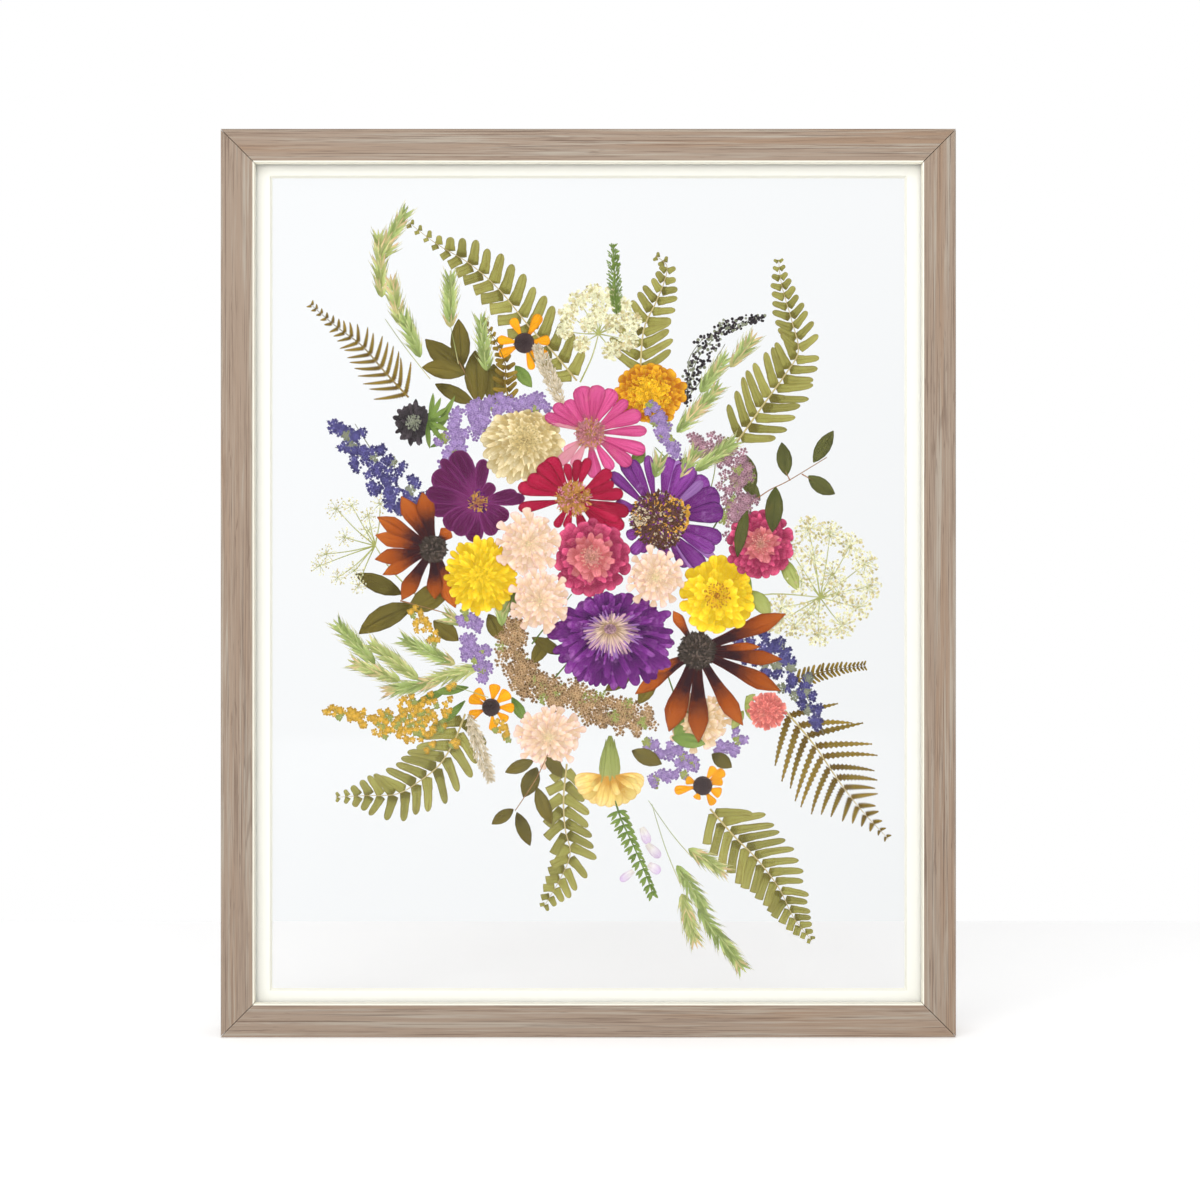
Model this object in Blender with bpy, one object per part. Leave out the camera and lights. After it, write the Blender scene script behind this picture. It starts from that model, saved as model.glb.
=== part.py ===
"""Pressed flower frame: a mitred wooden frame, two panes, a window mat and dried flowers between the panes.

Units are metres, +Z is up, the front looks along -Y. The origin is the middle of the frame's foot.
The bouquet is drawn in millimetres from that origin, across and up, and laid down layer by layer.
"""

import math
from collections import namedtuple

import bmesh
import bpy
import numpy as np

MM = 0.001

# The frame, all in millimetres.
FRAME_WIDTH = 434.6
FRAME_HEIGHT = 536.9
FRAME_DEPTH = 32.0
FACE_WIDTH = 19.7
WALL_WIDTH = 13.7
LIP_DEPTH = 6.0
OUTER_EASING = 1.4
SIGHT_EASING = 0.7
EASING_STEPS = 4
MITRE_GAP = 0.5

# What the frame holds, front to back.
FIT_GAP = 0.3
GLASS_WIDTH = 406.4
GLASS_HEIGHT = 508.0
GLASS_THICKNESS = 2.0
MAT_THICKNESS = 1.4
WINDOW_WIDTH = 376.7
WINDOW_HEIGHT = 482.5
SPACER_WIDTH = 6.0
SPACER_DEPTH = 6.6
STOP_WIDTH = 7.0
STOP_DEPTH = 6.0
STOP_EASING = 0.6

# The layers that the dried flowers lie in, counted from the back pane.
LAYER_PITCH = 0.65
PRESSED_THICKNESS = 0.35
LAYER_COUNT = 12
CELL = 1.0

FRONT_Y = -FRAME_DEPTH / 2
FRONT_GLASS_Y = FRONT_Y + LIP_DEPTH + FIT_GAP
MAT_Y = FRONT_GLASS_Y + GLASS_THICKNESS + FIT_GAP
SPACER_Y = MAT_Y + MAT_THICKNESS + FIT_GAP
BACK_GLASS_Y = SPACER_Y + SPACER_DEPTH + FIT_GAP
STOP_Y = BACK_GLASS_Y + GLASS_THICKNESS + FIT_GAP

# Colour, roughness and metallic value of each finish.
FINISHES = {
    "weathered_wood": ((0.43, 0.33, 0.25), 0.75, 0.0),
    "raw_pine": ((0.62, 0.47, 0.30), 0.7, 0.0),
    "clear_glass": ((0.94, 0.97, 0.98), 0.05, 0.0),
    "mat_white": ((0.93, 0.92, 0.87), 0.9, 0.0),
    "fern": ((0.38, 0.35, 0.11), 0.7, 0.0),
    "bracken": ((0.26, 0.18, 0.04), 0.7, 0.0),
    "olive": ((0.13, 0.12, 0.03), 0.6, 0.0),
    "oat": ((0.46, 0.50, 0.22), 0.7, 0.0),
    "lace": ((0.72, 0.70, 0.42), 0.8, 0.0),
    "indigo": ((0.07, 0.06, 0.22), 0.7, 0.0),
    "soot": ((0.03, 0.02, 0.02), 0.7, 0.0),
    "golden": ((0.70, 0.47, 0.06), 0.8, 0.0),
    "lilac": ((0.37, 0.23, 0.66), 0.8, 0.0),
    "tan": ((0.42, 0.25, 0.13), 0.8, 0.0),
    "mauve": ((0.38, 0.20, 0.23), 0.8, 0.0),
    "marigold": ((0.85, 0.45, 0.02), 0.8, 0.0),
    "violet": ((0.20, 0.04, 0.25), 0.7, 0.0),
    "orange": ((0.86, 0.30, 0.01), 0.6, 0.0),
    "peach": ((0.86, 0.58, 0.42), 0.8, 0.0),
    "russet": ((0.30, 0.06, 0.01), 0.6, 0.0),
    "plum": ((0.10, 0.01, 0.06), 0.6, 0.0),
    "cream": ((0.80, 0.66, 0.38), 0.8, 0.0),
    "pink": ((0.80, 0.12, 0.35), 0.7, 0.0),
    "yellow": ((0.88, 0.62, 0.03), 0.8, 0.0),
    "crimson": ((0.52, 0.01, 0.06), 0.6, 0.0),
    "rose": ((0.62, 0.06, 0.18), 0.7, 0.0),
    "blush": ((0.88, 0.52, 0.47), 0.8, 0.0),
    "coral": ((0.80, 0.20, 0.16), 0.8, 0.0),
    "butter": ((0.86, 0.66, 0.22), 0.8, 0.0),
}

# A flower seen from above: centre, half width, half height, petals and the depth of the notches between them.
Rosette = namedtuple("Rosette", "name finish centre half_width half_height petals notch")
# Long petals or leaves round a hub, given by their tips.
Star = namedtuple("Star", "name finish hub tips leaf_width hub_radius")
# A frond, spike or band along a spine, tip first, with half widths along it and teeth on each side.
Ribbon = namedtuple("Ribbon", "name finish spine half_widths teeth")

# The bouquet from the back to the front: each specimen lies on those named before it.
BOUQUET = (
    Ribbon("sword_fern", "fern",
           ((-108, 485), (-91, 472), (-71, 460), (-53, 444), (-36, 423), (-22, 408), (-7, 390)),
           (3, 8, 20, 24, 22, 17, 11), 8),
    Ribbon("fern_top", "fern",
           ((40, 465), (47, 459), (45, 448), (40, 436), (33, 420), (31, 393)),
           (2, 6, 12, 16, 23, 25), 7),
    Ribbon("fern_right", "fern",
           ((114, 463), (116, 447), (122, 426), (126, 408), (119, 395), (106, 377), (89, 353)),
           (2, 8, 12, 13, 23, 26, 20), 9),
    Ribbon("fern_bottom_left", "fern",
           ((-152, 140), (-134, 141), (-115, 142), (-101, 150), (-89, 160), (-80, 175), (-74, 190)),
           (1, 6, 16, 19, 23, 23, 17), 9),
    Ribbon("fern_bottom_mid", "fern",
           ((-27, 74), (-17, 91), (-11, 106), (-14, 121), (-15, 139), (-13, 160)),
           (3, 11, 17, 20, 18, 13), 7),
    Ribbon("fern_bottom_right", "fern",
           ((134, 54), (123, 68), (114, 86), (101, 103), (88, 116), (73, 133)),
           (2, 8, 17, 24, 28, 24), 9),
    Ribbon("bracken_left", "bracken", ((-167, 436), (-152, 423), (-136, 411), (-122, 395), (-108, 380)),
           (1, 6, 12, 17, 20), 8),
    Ribbon("bracken_right", "bracken", ((180, 115), (164, 132), (150, 150), (135, 172), (118, 192)),
           (2, 10, 26, 36, 28), 8),
    Star("leaf_sprig", "olive", (-76, 399),
         ((-77, 427), (-98, 415), (-99, 399), (-75, 377), (-53, 381), (-61, 407)), 7, 5),
    Star("olive_leaves", "olive", (-107, 262),
         ((-140, 274), (-138, 240), (-89, 234), (-84, 254), (-94, 275)), 12, 5),
    Star("twig_right", "olive", (120, 329),
         ((119, 349), (145, 358), (149, 320), (113, 300), (93, 310)), 8, 4),
    Ribbon("dark_spike", "soot", ((104, 428), (83, 422), (70, 411), (62, 393), (58, 378)),
           (3, 6, 8, 8, 6), 0),
    Rosette("lace_top", "lace", (9, 424), 27, 21.5, 11, 0.2),
    Rosette("lace_left", "lace", (-141, 292), 26.5, 28, 9, 0.45),
    Rosette("lace_right", "lace", (141, 272), 31.5, 36.5, 11, 0.3),
    Ribbon("delphinium_left", "indigo", ((-154, 364), (-136, 348), (-117, 330), (-101, 309)),
           (4, 11, 16, 14), 0),
    Ribbon("delphinium_right", "indigo", ((94, 234), (116, 220), (131, 200), (140, 179)),
           (13, 17, 10, 3), 0),
    Ribbon("goldenrod_left", "golden", ((-156, 192), (-134, 187), (-113, 183), (-89, 192)),
           (5, 7, 12, 16), 0),
    Ribbon("oat_grass_top_left", "oat", ((-110, 493), (-123, 476), (-125, 456), (-119, 432), (-104, 407)),
           (4, 7, 8, 8, 6), 9),
    Ribbon("oat_grass_left", "oat", ((-153, 244), (-135, 227), (-115, 211), (-89, 212), (-68, 218)),
           (4, 7, 8, 7, 6), 9),
    Ribbon("oat_grass_bottom", "oat", ((94, 38), (80, 56), (66, 72), (56, 95)), (3, 8, 12, 5), 7),
    Ribbon("statice_top", "lilac", ((-82, 344), (-83, 366), (-68, 378), (-47, 380), (-25, 377)),
           (7, 8, 8, 7, 5), 0),
    Ribbon("tan_sedum", "tan", ((-45, 242), (-46, 222), (-34, 208), (-13, 200), (10, 190), (37, 186)),
           (7, 10, 10, 10, 10, 7), 0),
    Ribbon("mauve_sedum", "mauve", ((65, 352), (85, 345), (94, 324), (87, 297)), (7, 8, 9, 7), 0),
    Rosette("black_scabiosa", "soot", (-105, 365), 13.5, 14.5, 12, 0.15),
    Rosette("orange_marigold", "marigold", (37, 382), 22.5, 19.5, 18, 0.08),
    Rosette("ring_zinnia", "violet", (45, 307), 36.5, 38, 14, 0.3),
    Rosette("susan_left", "orange", (-58, 195), 14.5, 13.5, 7, 0.45),
    Rosette("peach_daisy", "peach", (66, 186), 21, 19, 18, 0.15),
    Star("rudbeckia_right", "russet", (65, 228),
         ((118, 251), (116, 221), (114, 205), (92, 182), (66, 174), (46, 180), (27, 203), (38, 256)), 10, 12),
    Rosette("violet_aster", "violet", (15, 234), 38, 31, 18, 0.1),
    Star("rudbeckia_left", "russet", (-93, 288),
         ((-113, 319), (-100, 324), (-127, 307), (-129, 295), (-127, 281), (-113, 258), (-79, 253)), 6, 8),
    Rosette("plum_flower", "plum", (-65, 320), 31, 28.5, 11, 0.25),
    Rosette("cream_zinnia", "cream", (-40, 350), 25, 22.5, 20, 0.07),
    Rosette("hot_pink_zinnia", "pink", (2, 359), 32.5, 29.5, 12, 0.3),
    Rosette("yellow_bloom_left", "yellow", (-64, 273), 22.5, 24, 20, 0.08),
    Rosette("crimson_zinnia", "crimson", (-10, 319), 33.5, 27.5, 14, 0.25),
    Rosette("yellow_bloom_right", "yellow", (77, 261), 23.5, 24, 18, 0.08),
    Rosette("rose_zinnia_right", "rose", (103, 292), 21.5, 22, 18, 0.06),
    Rosette("rose_zinnia_centre", "rose", (2, 284), 24, 24, 18, 0.08),
    Rosette("blush_daisy_upper", "blush", (-36, 292), 20.5, 21, 20, 0.15),
    Rosette("blush_daisy_middle", "blush", (-29, 258), 19, 19, 20, 0.15),
    Rosette("blush_daisy_right", "blush", (40, 272), 18, 18.5, 18, 0.18),
    Rosette("blush_daisy_lower", "blush", (-24, 176), 22, 19.5, 20, 0.15),
    Rosette("susan_top", "orange", (-39, 413), 18.5, 18, 6, 0.5),
    Rosette("susan_bottom", "orange", (68, 146), 16.5, 13, 6, 0.45),
    Rosette("coral_amaranth", "coral", (107, 192), 12, 12, 14, 0.08),
    Rosette("pale_marigold", "butter", (13, 150), 20.5, 15.5, 14, 0.1),
)


def clear_scene():
    """Remove every object that the file opens with."""
    for thing in list(bpy.data.objects):
        bpy.data.objects.remove(thing, do_unlink=True)


def finish(name):
    """Return the material of a finish, made the first time that it is asked for."""
    known = bpy.data.materials.get(name)
    if known:
        return known
    colour, roughness, metallic = FINISHES[name]
    material = bpy.data.materials.new(name)
    material.use_nodes = True
    shader = material.node_tree.nodes["Principled BSDF"]
    shader.inputs["Base Color"].default_value = (*colour, 1.0)
    shader.inputs["Roughness"].default_value = roughness
    shader.inputs["Metallic"].default_value = metallic
    return material


def add_object(name, shape, finish_name):
    """Turn a bmesh drawn in millimetres into an object in metres, with its faces outwards."""
    bmesh.ops.recalc_face_normals(shape, faces=shape.faces)
    if shape.calc_volume(signed=True) < 0:
        bmesh.ops.reverse_faces(shape, faces=shape.faces)
    bmesh.ops.scale(shape, vec=(MM, MM, MM), verts=shape.verts)
    mesh = bpy.data.meshes.new(name)
    shape.to_mesh(mesh)
    shape.free()
    mesh.materials.append(finish(finish_name))
    thing = bpy.data.objects.new(name, mesh)
    bpy.context.scene.collection.objects.link(thing)
    return thing


def skin(rings):
    """Join closed rings of points, one after another, and cap the first and the last."""
    shape = bmesh.new()
    rows = [[shape.verts.new(point) for point in ring] for ring in rings]
    count = len(rows[0])
    for near, far in zip(rows, rows[1:]):
        for index in range(count):
            following = (index + 1) % count
            shape.faces.new((near[index], near[following], far[following], far[index]))
    shape.faces.new(rows[0])
    shape.faces.new(rows[-1])
    return shape


def plate(name, outline, y_front, thickness, finish_name):
    """Cut a flat plate with the given outline, across and up, from y_front backwards."""
    rings = [[(x, y, z) for x, z in outline] for y in (y_front, y_front + thickness)]
    shape = skin(rings)
    shape.normal_update()
    bmesh.ops.triangulate(shape, faces=[face for face in shape.faces if len(face.verts) > 4])
    return add_object(name, shape, finish_name)


def arc(centre, radius, start, end, steps):
    """Points on an arc, from one angle to another in degrees."""
    angles = [math.radians(start + (end - start) * step / steps) for step in range(steps + 1)]
    return [(centre[0] + radius * math.cos(angle), centre[1] + radius * math.sin(angle)) for angle in angles]


def moulding_section():
    """The frame's section as pairs of distance in from the outer edge and depth behind the front."""
    outer = arc((OUTER_EASING, OUTER_EASING), OUTER_EASING, 180, 270, EASING_STEPS)
    sight = arc((FACE_WIDTH - SIGHT_EASING, SIGHT_EASING), SIGHT_EASING, 270, 360, EASING_STEPS)
    rebate = [(FACE_WIDTH, LIP_DEPTH), (WALL_WIDTH, LIP_DEPTH), (WALL_WIDTH, FRAME_DEPTH), (0, FRAME_DEPTH)]
    return outer + sight + rebate


def rail(name, length, turn, gap):
    """One mitred rail.

    The rail is drawn as a foot of the given length and turned about the frame's middle by quarter turns.
    A gap keeps its mitres clear of the rails that it meets.
    """
    across = FRAME_HEIGHT if turn % 2 == 0 else FRAME_WIDTH
    rings = []
    for side in (-1, 1):
        ring = []
        for inset, depth in moulding_section():
            x = side * (length / 2 - inset - gap)
            z = inset - across / 2
            for _ in range(turn):
                x, z = -z, x
            ring.append((x, FRONT_Y + depth, z + FRAME_HEIGHT / 2))
        rings.append(ring)
    return add_object(name, skin(rings), "weathered_wood")


def rectangle(width, height):
    """A rectangle round the frame's middle, across and up."""
    middle = FRAME_HEIGHT / 2
    corners = ((-1, -1), (1, -1), (1, 1), (-1, 1))
    return [(sx * width / 2, middle + sy * height / 2) for sx, sy in corners]


def window_ring(name, widths, heights, y_front, thickness, finish_name):
    """A flat ring with a rectangular window, whose edge slopes from a front size to a back size."""
    y_back = y_front + thickness
    loops = [(rectangle(GLASS_WIDTH, GLASS_HEIGHT), y_front), (rectangle(GLASS_WIDTH, GLASS_HEIGHT), y_back),
             (rectangle(widths[1], heights[1]), y_back), (rectangle(widths[0], heights[0]), y_front)]
    shape = bmesh.new()
    rows = [[shape.verts.new((x, y, z)) for x, z in points] for points, y in loops]
    for near, far in zip(rows, rows[1:] + rows[:1]):
        for index in range(len(near)):
            following = (index + 1) % len(near)
            shape.faces.new((near[index], near[following], far[following], far[index]))
    return add_object(name, shape, finish_name)


def mat_board():
    """The window mat with its 45 degree bevel, which shows from the front."""
    bevel = 2 * MAT_THICKNESS
    widths = (WINDOW_WIDTH + bevel, WINDOW_WIDTH)
    heights = (WINDOW_HEIGHT + bevel, WINDOW_HEIGHT)
    return window_ring("mat_board", widths, heights, MAT_Y, MAT_THICKNESS, "mat_white")


def spacer_ring():
    """The narrow ring that holds the back pane off the mat."""
    width = GLASS_WIDTH - 2 * SPACER_WIDTH
    height = GLASS_HEIGHT - 2 * SPACER_WIDTH
    return window_ring("spacer_ring", (width, width), (height, height), SPACER_Y, SPACER_DEPTH, "mat_white")


def stop(name, length, turn):
    """One eased strip in the rebate, behind the back pane; the upright ones stand between the others."""
    reach = (GLASS_HEIGHT if turn % 2 == 0 else GLASS_WIDTH) / 2
    long_side = np.array((1, 0)) if turn % 2 == 0 else np.array((0, 1))
    side = 1 if turn in (1, 2) else -1
    across = np.array((0, side)) if turn % 2 == 0 else np.array((side, 0))
    middle = across * (reach - STOP_WIDTH / 2)
    size = long_side * length + abs(across) * STOP_WIDTH
    shape = bmesh.new()
    bmesh.ops.create_cube(shape, size=1.0)
    bmesh.ops.scale(shape, vec=(size[0], STOP_DEPTH, size[1]), verts=shape.verts)
    bmesh.ops.translate(shape, vec=(middle[0], STOP_Y + STOP_DEPTH / 2, middle[1] + FRAME_HEIGHT / 2),
                        verts=shape.verts)
    bmesh.ops.bevel(shape, geom=shape.edges[:], offset=STOP_EASING, segments=1, affect="EDGES")
    return add_object(name, shape, "raw_pine")


def rosette_outline(flower):
    """A scalloped ring: a round tip for each petal, and a notch between two petals."""
    outline = []
    for petal in range(flower.petals):
        for part, reach in ((0.0, 1.0 - flower.notch), (0.3, 1.0), (0.7, 1.0)):
            angle = math.tau * (petal + part) / flower.petals
            outline.append((flower.centre[0] + flower.half_width * reach * math.cos(angle),
                            flower.centre[1] + flower.half_height * reach * math.sin(angle)))
    return outline


def star_outline(spray):
    """Pointed petals in the order of their directions, each widest at two thirds of its length."""
    hub = np.array(spray.hub, dtype=float)
    tips = sorted(spray.tips, key=lambda tip: math.atan2(tip[1] - hub[1], tip[0] - hub[0]))
    outline = []
    for index, tip in enumerate(tips):
        reach = np.array(tip) - hub
        length = np.linalg.norm(reach)
        along = reach / length
        across = np.array((-along[1], along[0]))
        root = hub + along * spray.hub_radius
        belly = hub + reach * 0.66
        outline += [root - across * 1.0, belly - across * spray.leaf_width / 2, np.array(tip),
                    belly + across * spray.leaf_width / 2, root + across * 1.0]
        following = np.array(tips[(index + 1) % len(tips)]) - hub
        turn = (math.atan2(following[1], following[0]) - math.atan2(reach[1], reach[0])) % math.tau
        if turn > math.radians(60):
            start = math.atan2(reach[1], reach[0])
            for step in (1, 2):
                angle = start + turn * step / 3
                outline.append(hub + spray.hub_radius * np.array((math.cos(angle), math.sin(angle))))
    return [tuple(point) for point in outline]


def along_spine(spine, half_widths, place):
    """Point, direction and half width at a place from 0 to 1 along a spine, on a smooth curve."""
    points = np.array(spine, dtype=float)
    scaled = place * (len(points) - 1)
    index = min(int(scaled), len(points) - 2)
    blend = scaled - index
    before = points[max(index - 1, 0)]
    after = points[min(index + 2, len(points) - 1)]
    start, end = points[index], points[index + 1]
    start_pull, end_pull = (end - before) / 2, (after - start) / 2
    b2, b3 = blend ** 2, blend ** 3
    point = (2 * b3 - 3 * b2 + 1) * start + (b3 - 2 * b2 + blend) * start_pull \
        + (3 * b2 - 2 * b3) * end + (b3 - b2) * end_pull
    slope = (6 * b2 - 6 * blend) * start + (3 * b2 - 4 * blend + 1) * start_pull \
        + (6 * blend - 6 * b2) * end + (3 * b2 - 2 * blend) * end_pull
    width = half_widths[index] * (1 - blend) + half_widths[index + 1] * blend
    return point, slope / np.linalg.norm(slope), width


def ribbon_outline(frond):
    """Both sides of a spine: plain, or with a tooth for each pair of leaflets."""
    plain_steps = 3 * (len(frond.spine) - 1)
    steps = 2 * frond.teeth if frond.teeth else plain_steps
    sides = {1: [], -1: []}
    for step in range(steps + 1):
        point, direction, width = along_spine(frond.spine, frond.half_widths, step / steps)
        across = np.array((-direction[1], direction[0]))
        reach = width * 0.3 if frond.teeth and step % 2 == 0 else width
        for side, row in sides.items():
            row.append(tuple(point + side * reach * across))
    return sides[1] + sides[-1][::-1]


OUTLINES = {"Rosette": rosette_outline, "Star": star_outline, "Ribbon": ribbon_outline}


def covered(outline, grid_x, grid_z):
    """Which cells of a grid lie inside an outline or right beside it."""
    inside = np.zeros(grid_x.shape, dtype=bool)
    for (x1, z1), (x2, z2) in zip(outline, outline[1:] + outline[:1]):
        crosses = (z1 > grid_z) != (z2 > grid_z)
        if z1 != z2:
            inside ^= crosses & (grid_x < (x2 - x1) * (grid_z - z1) / (z2 - z1) + x1)
        length = math.hypot(x2 - x1, z2 - z1)
        for step in range(int(length / CELL) + 2):
            share = min(step * CELL / max(length, CELL), 1.0)
            x, z = x1 + (x2 - x1) * share, z1 + (z2 - z1) * share
            inside |= (abs(grid_x - x) < CELL) & (abs(grid_z - z) < CELL)
    return inside


def bouquet():
    """Lay the specimens on the back pane one after another, each on top of all that it crosses."""
    columns = np.arange(-WINDOW_WIDTH / 2, WINDOW_WIDTH / 2, CELL)
    rows = np.arange(0, FRAME_HEIGHT, CELL)
    grid_x, grid_z = np.meshgrid(columns, rows)
    pile = np.zeros(grid_x.shape, dtype=int)
    for specimen in BOUQUET:
        outline = OUTLINES[type(specimen).__name__](specimen)
        cells = covered(outline, grid_x, grid_z)
        layer = int(pile[cells].max())
        if layer >= LAYER_COUNT:
            raise ValueError(f"{specimen.name} finds no free layer")
        pile[cells] = layer + 1
        y_front = SPACER_Y + SPACER_DEPTH - layer * LAYER_PITCH - PRESSED_THICKNESS
        plate(specimen.name, outline, y_front, PRESSED_THICKNESS, specimen.finish)


def frame_and_glazing():
    """The four rails and all that they hold, apart from the bouquet."""
    rail("frame_rail_bottom", FRAME_WIDTH, 0, 0.0)
    rail("frame_rail_right", FRAME_HEIGHT, 1, MITRE_GAP)
    rail("frame_rail_top", FRAME_WIDTH, 2, 0.0)
    rail("frame_rail_left", FRAME_HEIGHT, 3, MITRE_GAP)
    pane = rectangle(GLASS_WIDTH, GLASS_HEIGHT)
    plate("front_glass", pane, FRONT_GLASS_Y, GLASS_THICKNESS, "clear_glass")
    plate("back_glass", pane, BACK_GLASS_Y, GLASS_THICKNESS, "clear_glass")
    mat_board()
    spacer_ring()
    stop("stop_bottom", GLASS_WIDTH, 0)
    stop("stop_top", GLASS_WIDTH, 2)
    upright = GLASS_HEIGHT - 2 * (STOP_WIDTH + MITRE_GAP)
    stop("stop_right", upright, 1)
    stop("stop_left", upright, 3)


def main():
    """Build the whole frame."""
    clear_scene()
    frame_and_glazing()
    bouquet()


main()
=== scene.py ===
"""Looks of the pressed flower frame: weathered mitred wood, clear panes and dried flowers between them.

Lengths are millimetres across and up from the middle of the frame's foot, until a mesh is made in metres.
"""

import logging
import math
import random
from dataclasses import dataclass, field
from enum import Enum
from typing import Callable, Iterator, Optional, Sequence, Union

import bpy
import numpy as np
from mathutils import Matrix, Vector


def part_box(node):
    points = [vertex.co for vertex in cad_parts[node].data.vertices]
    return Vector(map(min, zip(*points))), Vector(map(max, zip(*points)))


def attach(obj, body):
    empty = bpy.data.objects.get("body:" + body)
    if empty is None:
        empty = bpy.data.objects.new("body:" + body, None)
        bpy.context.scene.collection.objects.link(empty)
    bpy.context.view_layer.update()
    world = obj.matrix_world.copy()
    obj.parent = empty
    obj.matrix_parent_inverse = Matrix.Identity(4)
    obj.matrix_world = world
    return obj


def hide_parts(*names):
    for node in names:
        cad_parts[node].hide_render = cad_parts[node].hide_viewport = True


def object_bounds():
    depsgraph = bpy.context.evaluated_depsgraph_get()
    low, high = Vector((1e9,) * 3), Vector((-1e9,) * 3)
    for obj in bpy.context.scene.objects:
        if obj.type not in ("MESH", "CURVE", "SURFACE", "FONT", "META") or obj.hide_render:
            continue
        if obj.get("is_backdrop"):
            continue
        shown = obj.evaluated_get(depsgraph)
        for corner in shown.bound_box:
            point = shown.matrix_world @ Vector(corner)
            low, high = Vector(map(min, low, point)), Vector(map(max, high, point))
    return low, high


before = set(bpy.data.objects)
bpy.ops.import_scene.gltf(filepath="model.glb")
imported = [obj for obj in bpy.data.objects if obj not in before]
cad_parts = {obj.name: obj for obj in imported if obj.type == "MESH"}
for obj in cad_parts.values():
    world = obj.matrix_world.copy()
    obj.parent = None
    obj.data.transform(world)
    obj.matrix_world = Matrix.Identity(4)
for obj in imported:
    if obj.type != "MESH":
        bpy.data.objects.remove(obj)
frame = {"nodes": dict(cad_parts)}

MM = 0.001
GOLDEN_TURN = 2.399963  # radians from one grain of a sunflower spiral to the next
ROW_SLACK = 1e-3  # how far off a vertex may stand and still belong to a row
SMOOTH_ANGLE = math.radians(50)
CLUMP_FLORETS = 12  # florets in one head of a clumped cluster
PETAL_THICK = 0.05  # half the thickness of a pressed petal, in millimetres
WHITE = (1.0, 1.0, 1.0, 1.0)
LOG = logging.getLogger("pressed_flowers")
Spot = tuple[float, float]


def paint(colour: int) -> tuple[float, float, float, float]:
    """Turn a paint chart's hex colour into the linear colour that a shader takes.

    Args:
        colour: red, green and blue as on the chart, two hex digits each.

    Returns:
        The linear colour with full opacity.
    """
    chart = (colour >> 16, colour >> 8 & 255, colour & 255)
    linear = [(c / 255 / 12.92) if c <= 10 else ((c / 255 + 0.055) / 1.055) ** 2.4 for c in chart]
    return (*linear, 1.0)


def polar(middle: Spot, turn: float, wide: float, high: Optional[float] = None) -> Spot:
    """The spot at a turn in radians on a circle, or on an oval where a half height is given."""
    return middle[0] + wide * math.cos(turn), middle[1] + (wide if high is None else high) * math.sin(turn)


def spiral(pick: random.Random, count: int, wobble: float, start: float = 0.5) -> Iterator[tuple[float, float]]:
    """Places in a sunflower spiral.

    Args:
        pick: where each place's own wobble comes from.
        count: how many places there are.
        wobble: the most that a place is turned, in radians.
        start: how far the first one stands from the middle, in places.

    Returns:
        The share of the full radius and the turn in radians of each place.
    """
    for index in range(count):
        yield math.sqrt((index + start) / count), index * GOLDEN_TURN + pick.uniform(-wobble, wobble)


def aim(start: Spot, end: Spot) -> tuple[float, float]:
    """The direction in degrees and the distance from one spot to another."""
    run = (end[0] - start[0], end[1] - start[1])
    return math.degrees(math.atan2(run[1], run[0])), math.hypot(*run)


# ---------------------------------------------------------------- shader maths


class Signal:
    """A socket that can stand in a sum; each operator adds one Math node."""

    def __init__(self, tree: "ShaderTree", socket: bpy.types.NodeSocket) -> None:
        """Wrap a socket of a tree."""
        self.tree = tree
        self.socket = socket

    def _math(self, operation: str, left: "Value", right: "Value" = 0.0) -> "Signal":
        """Add a Math node.

        Args:
            operation: the node's operation.
            left: its first value.
            right: its second value.

        Returns:
            The node's result.
        """
        return self.tree.add("ShaderNodeMath", {"operation": operation}, {0: left, 1: right})

    def __add__(self, other: "Value") -> "Signal":
        """Sum."""
        return self._math("ADD", self, other)

    def __radd__(self, other: "Value") -> "Signal":
        """Reflected sum."""
        return self._math("ADD", other, self)

    def __sub__(self, other: "Value") -> "Signal":
        """Difference."""
        return self._math("SUBTRACT", self, other)

    def __rsub__(self, other: "Value") -> "Signal":
        """Reflected difference."""
        return self._math("SUBTRACT", other, self)

    def __mul__(self, other: "Value") -> "Signal":
        """Product."""
        return self._math("MULTIPLY", self, other)

    def __rmul__(self, other: "Value") -> "Signal":
        """Reflected product."""
        return self._math("MULTIPLY", other, self)

    def __pow__(self, other: "Value") -> "Signal":
        """Power."""
        return self._math("POWER", self, other)

    def __abs__(self) -> "Signal":
        """Size without its sign."""
        return self._math("ABSOLUTE", self)

    def above(self, low: float, high: float) -> "Signal":
        """Ease from 0 at low to 1 at high.

        Args:
            low: where the ramp starts.
            high: where it ends; it may be under low.

        Returns:
            The eased value.
        """
        settings = {"interpolation_type": "SMOOTHSTEP"}
        return self.tree.add("ShaderNodeMapRange", settings, {0: self, 1: low, 2: high, 3: 0.0, 4: 1.0})


Value = Union[Signal, float, int, tuple]


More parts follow.
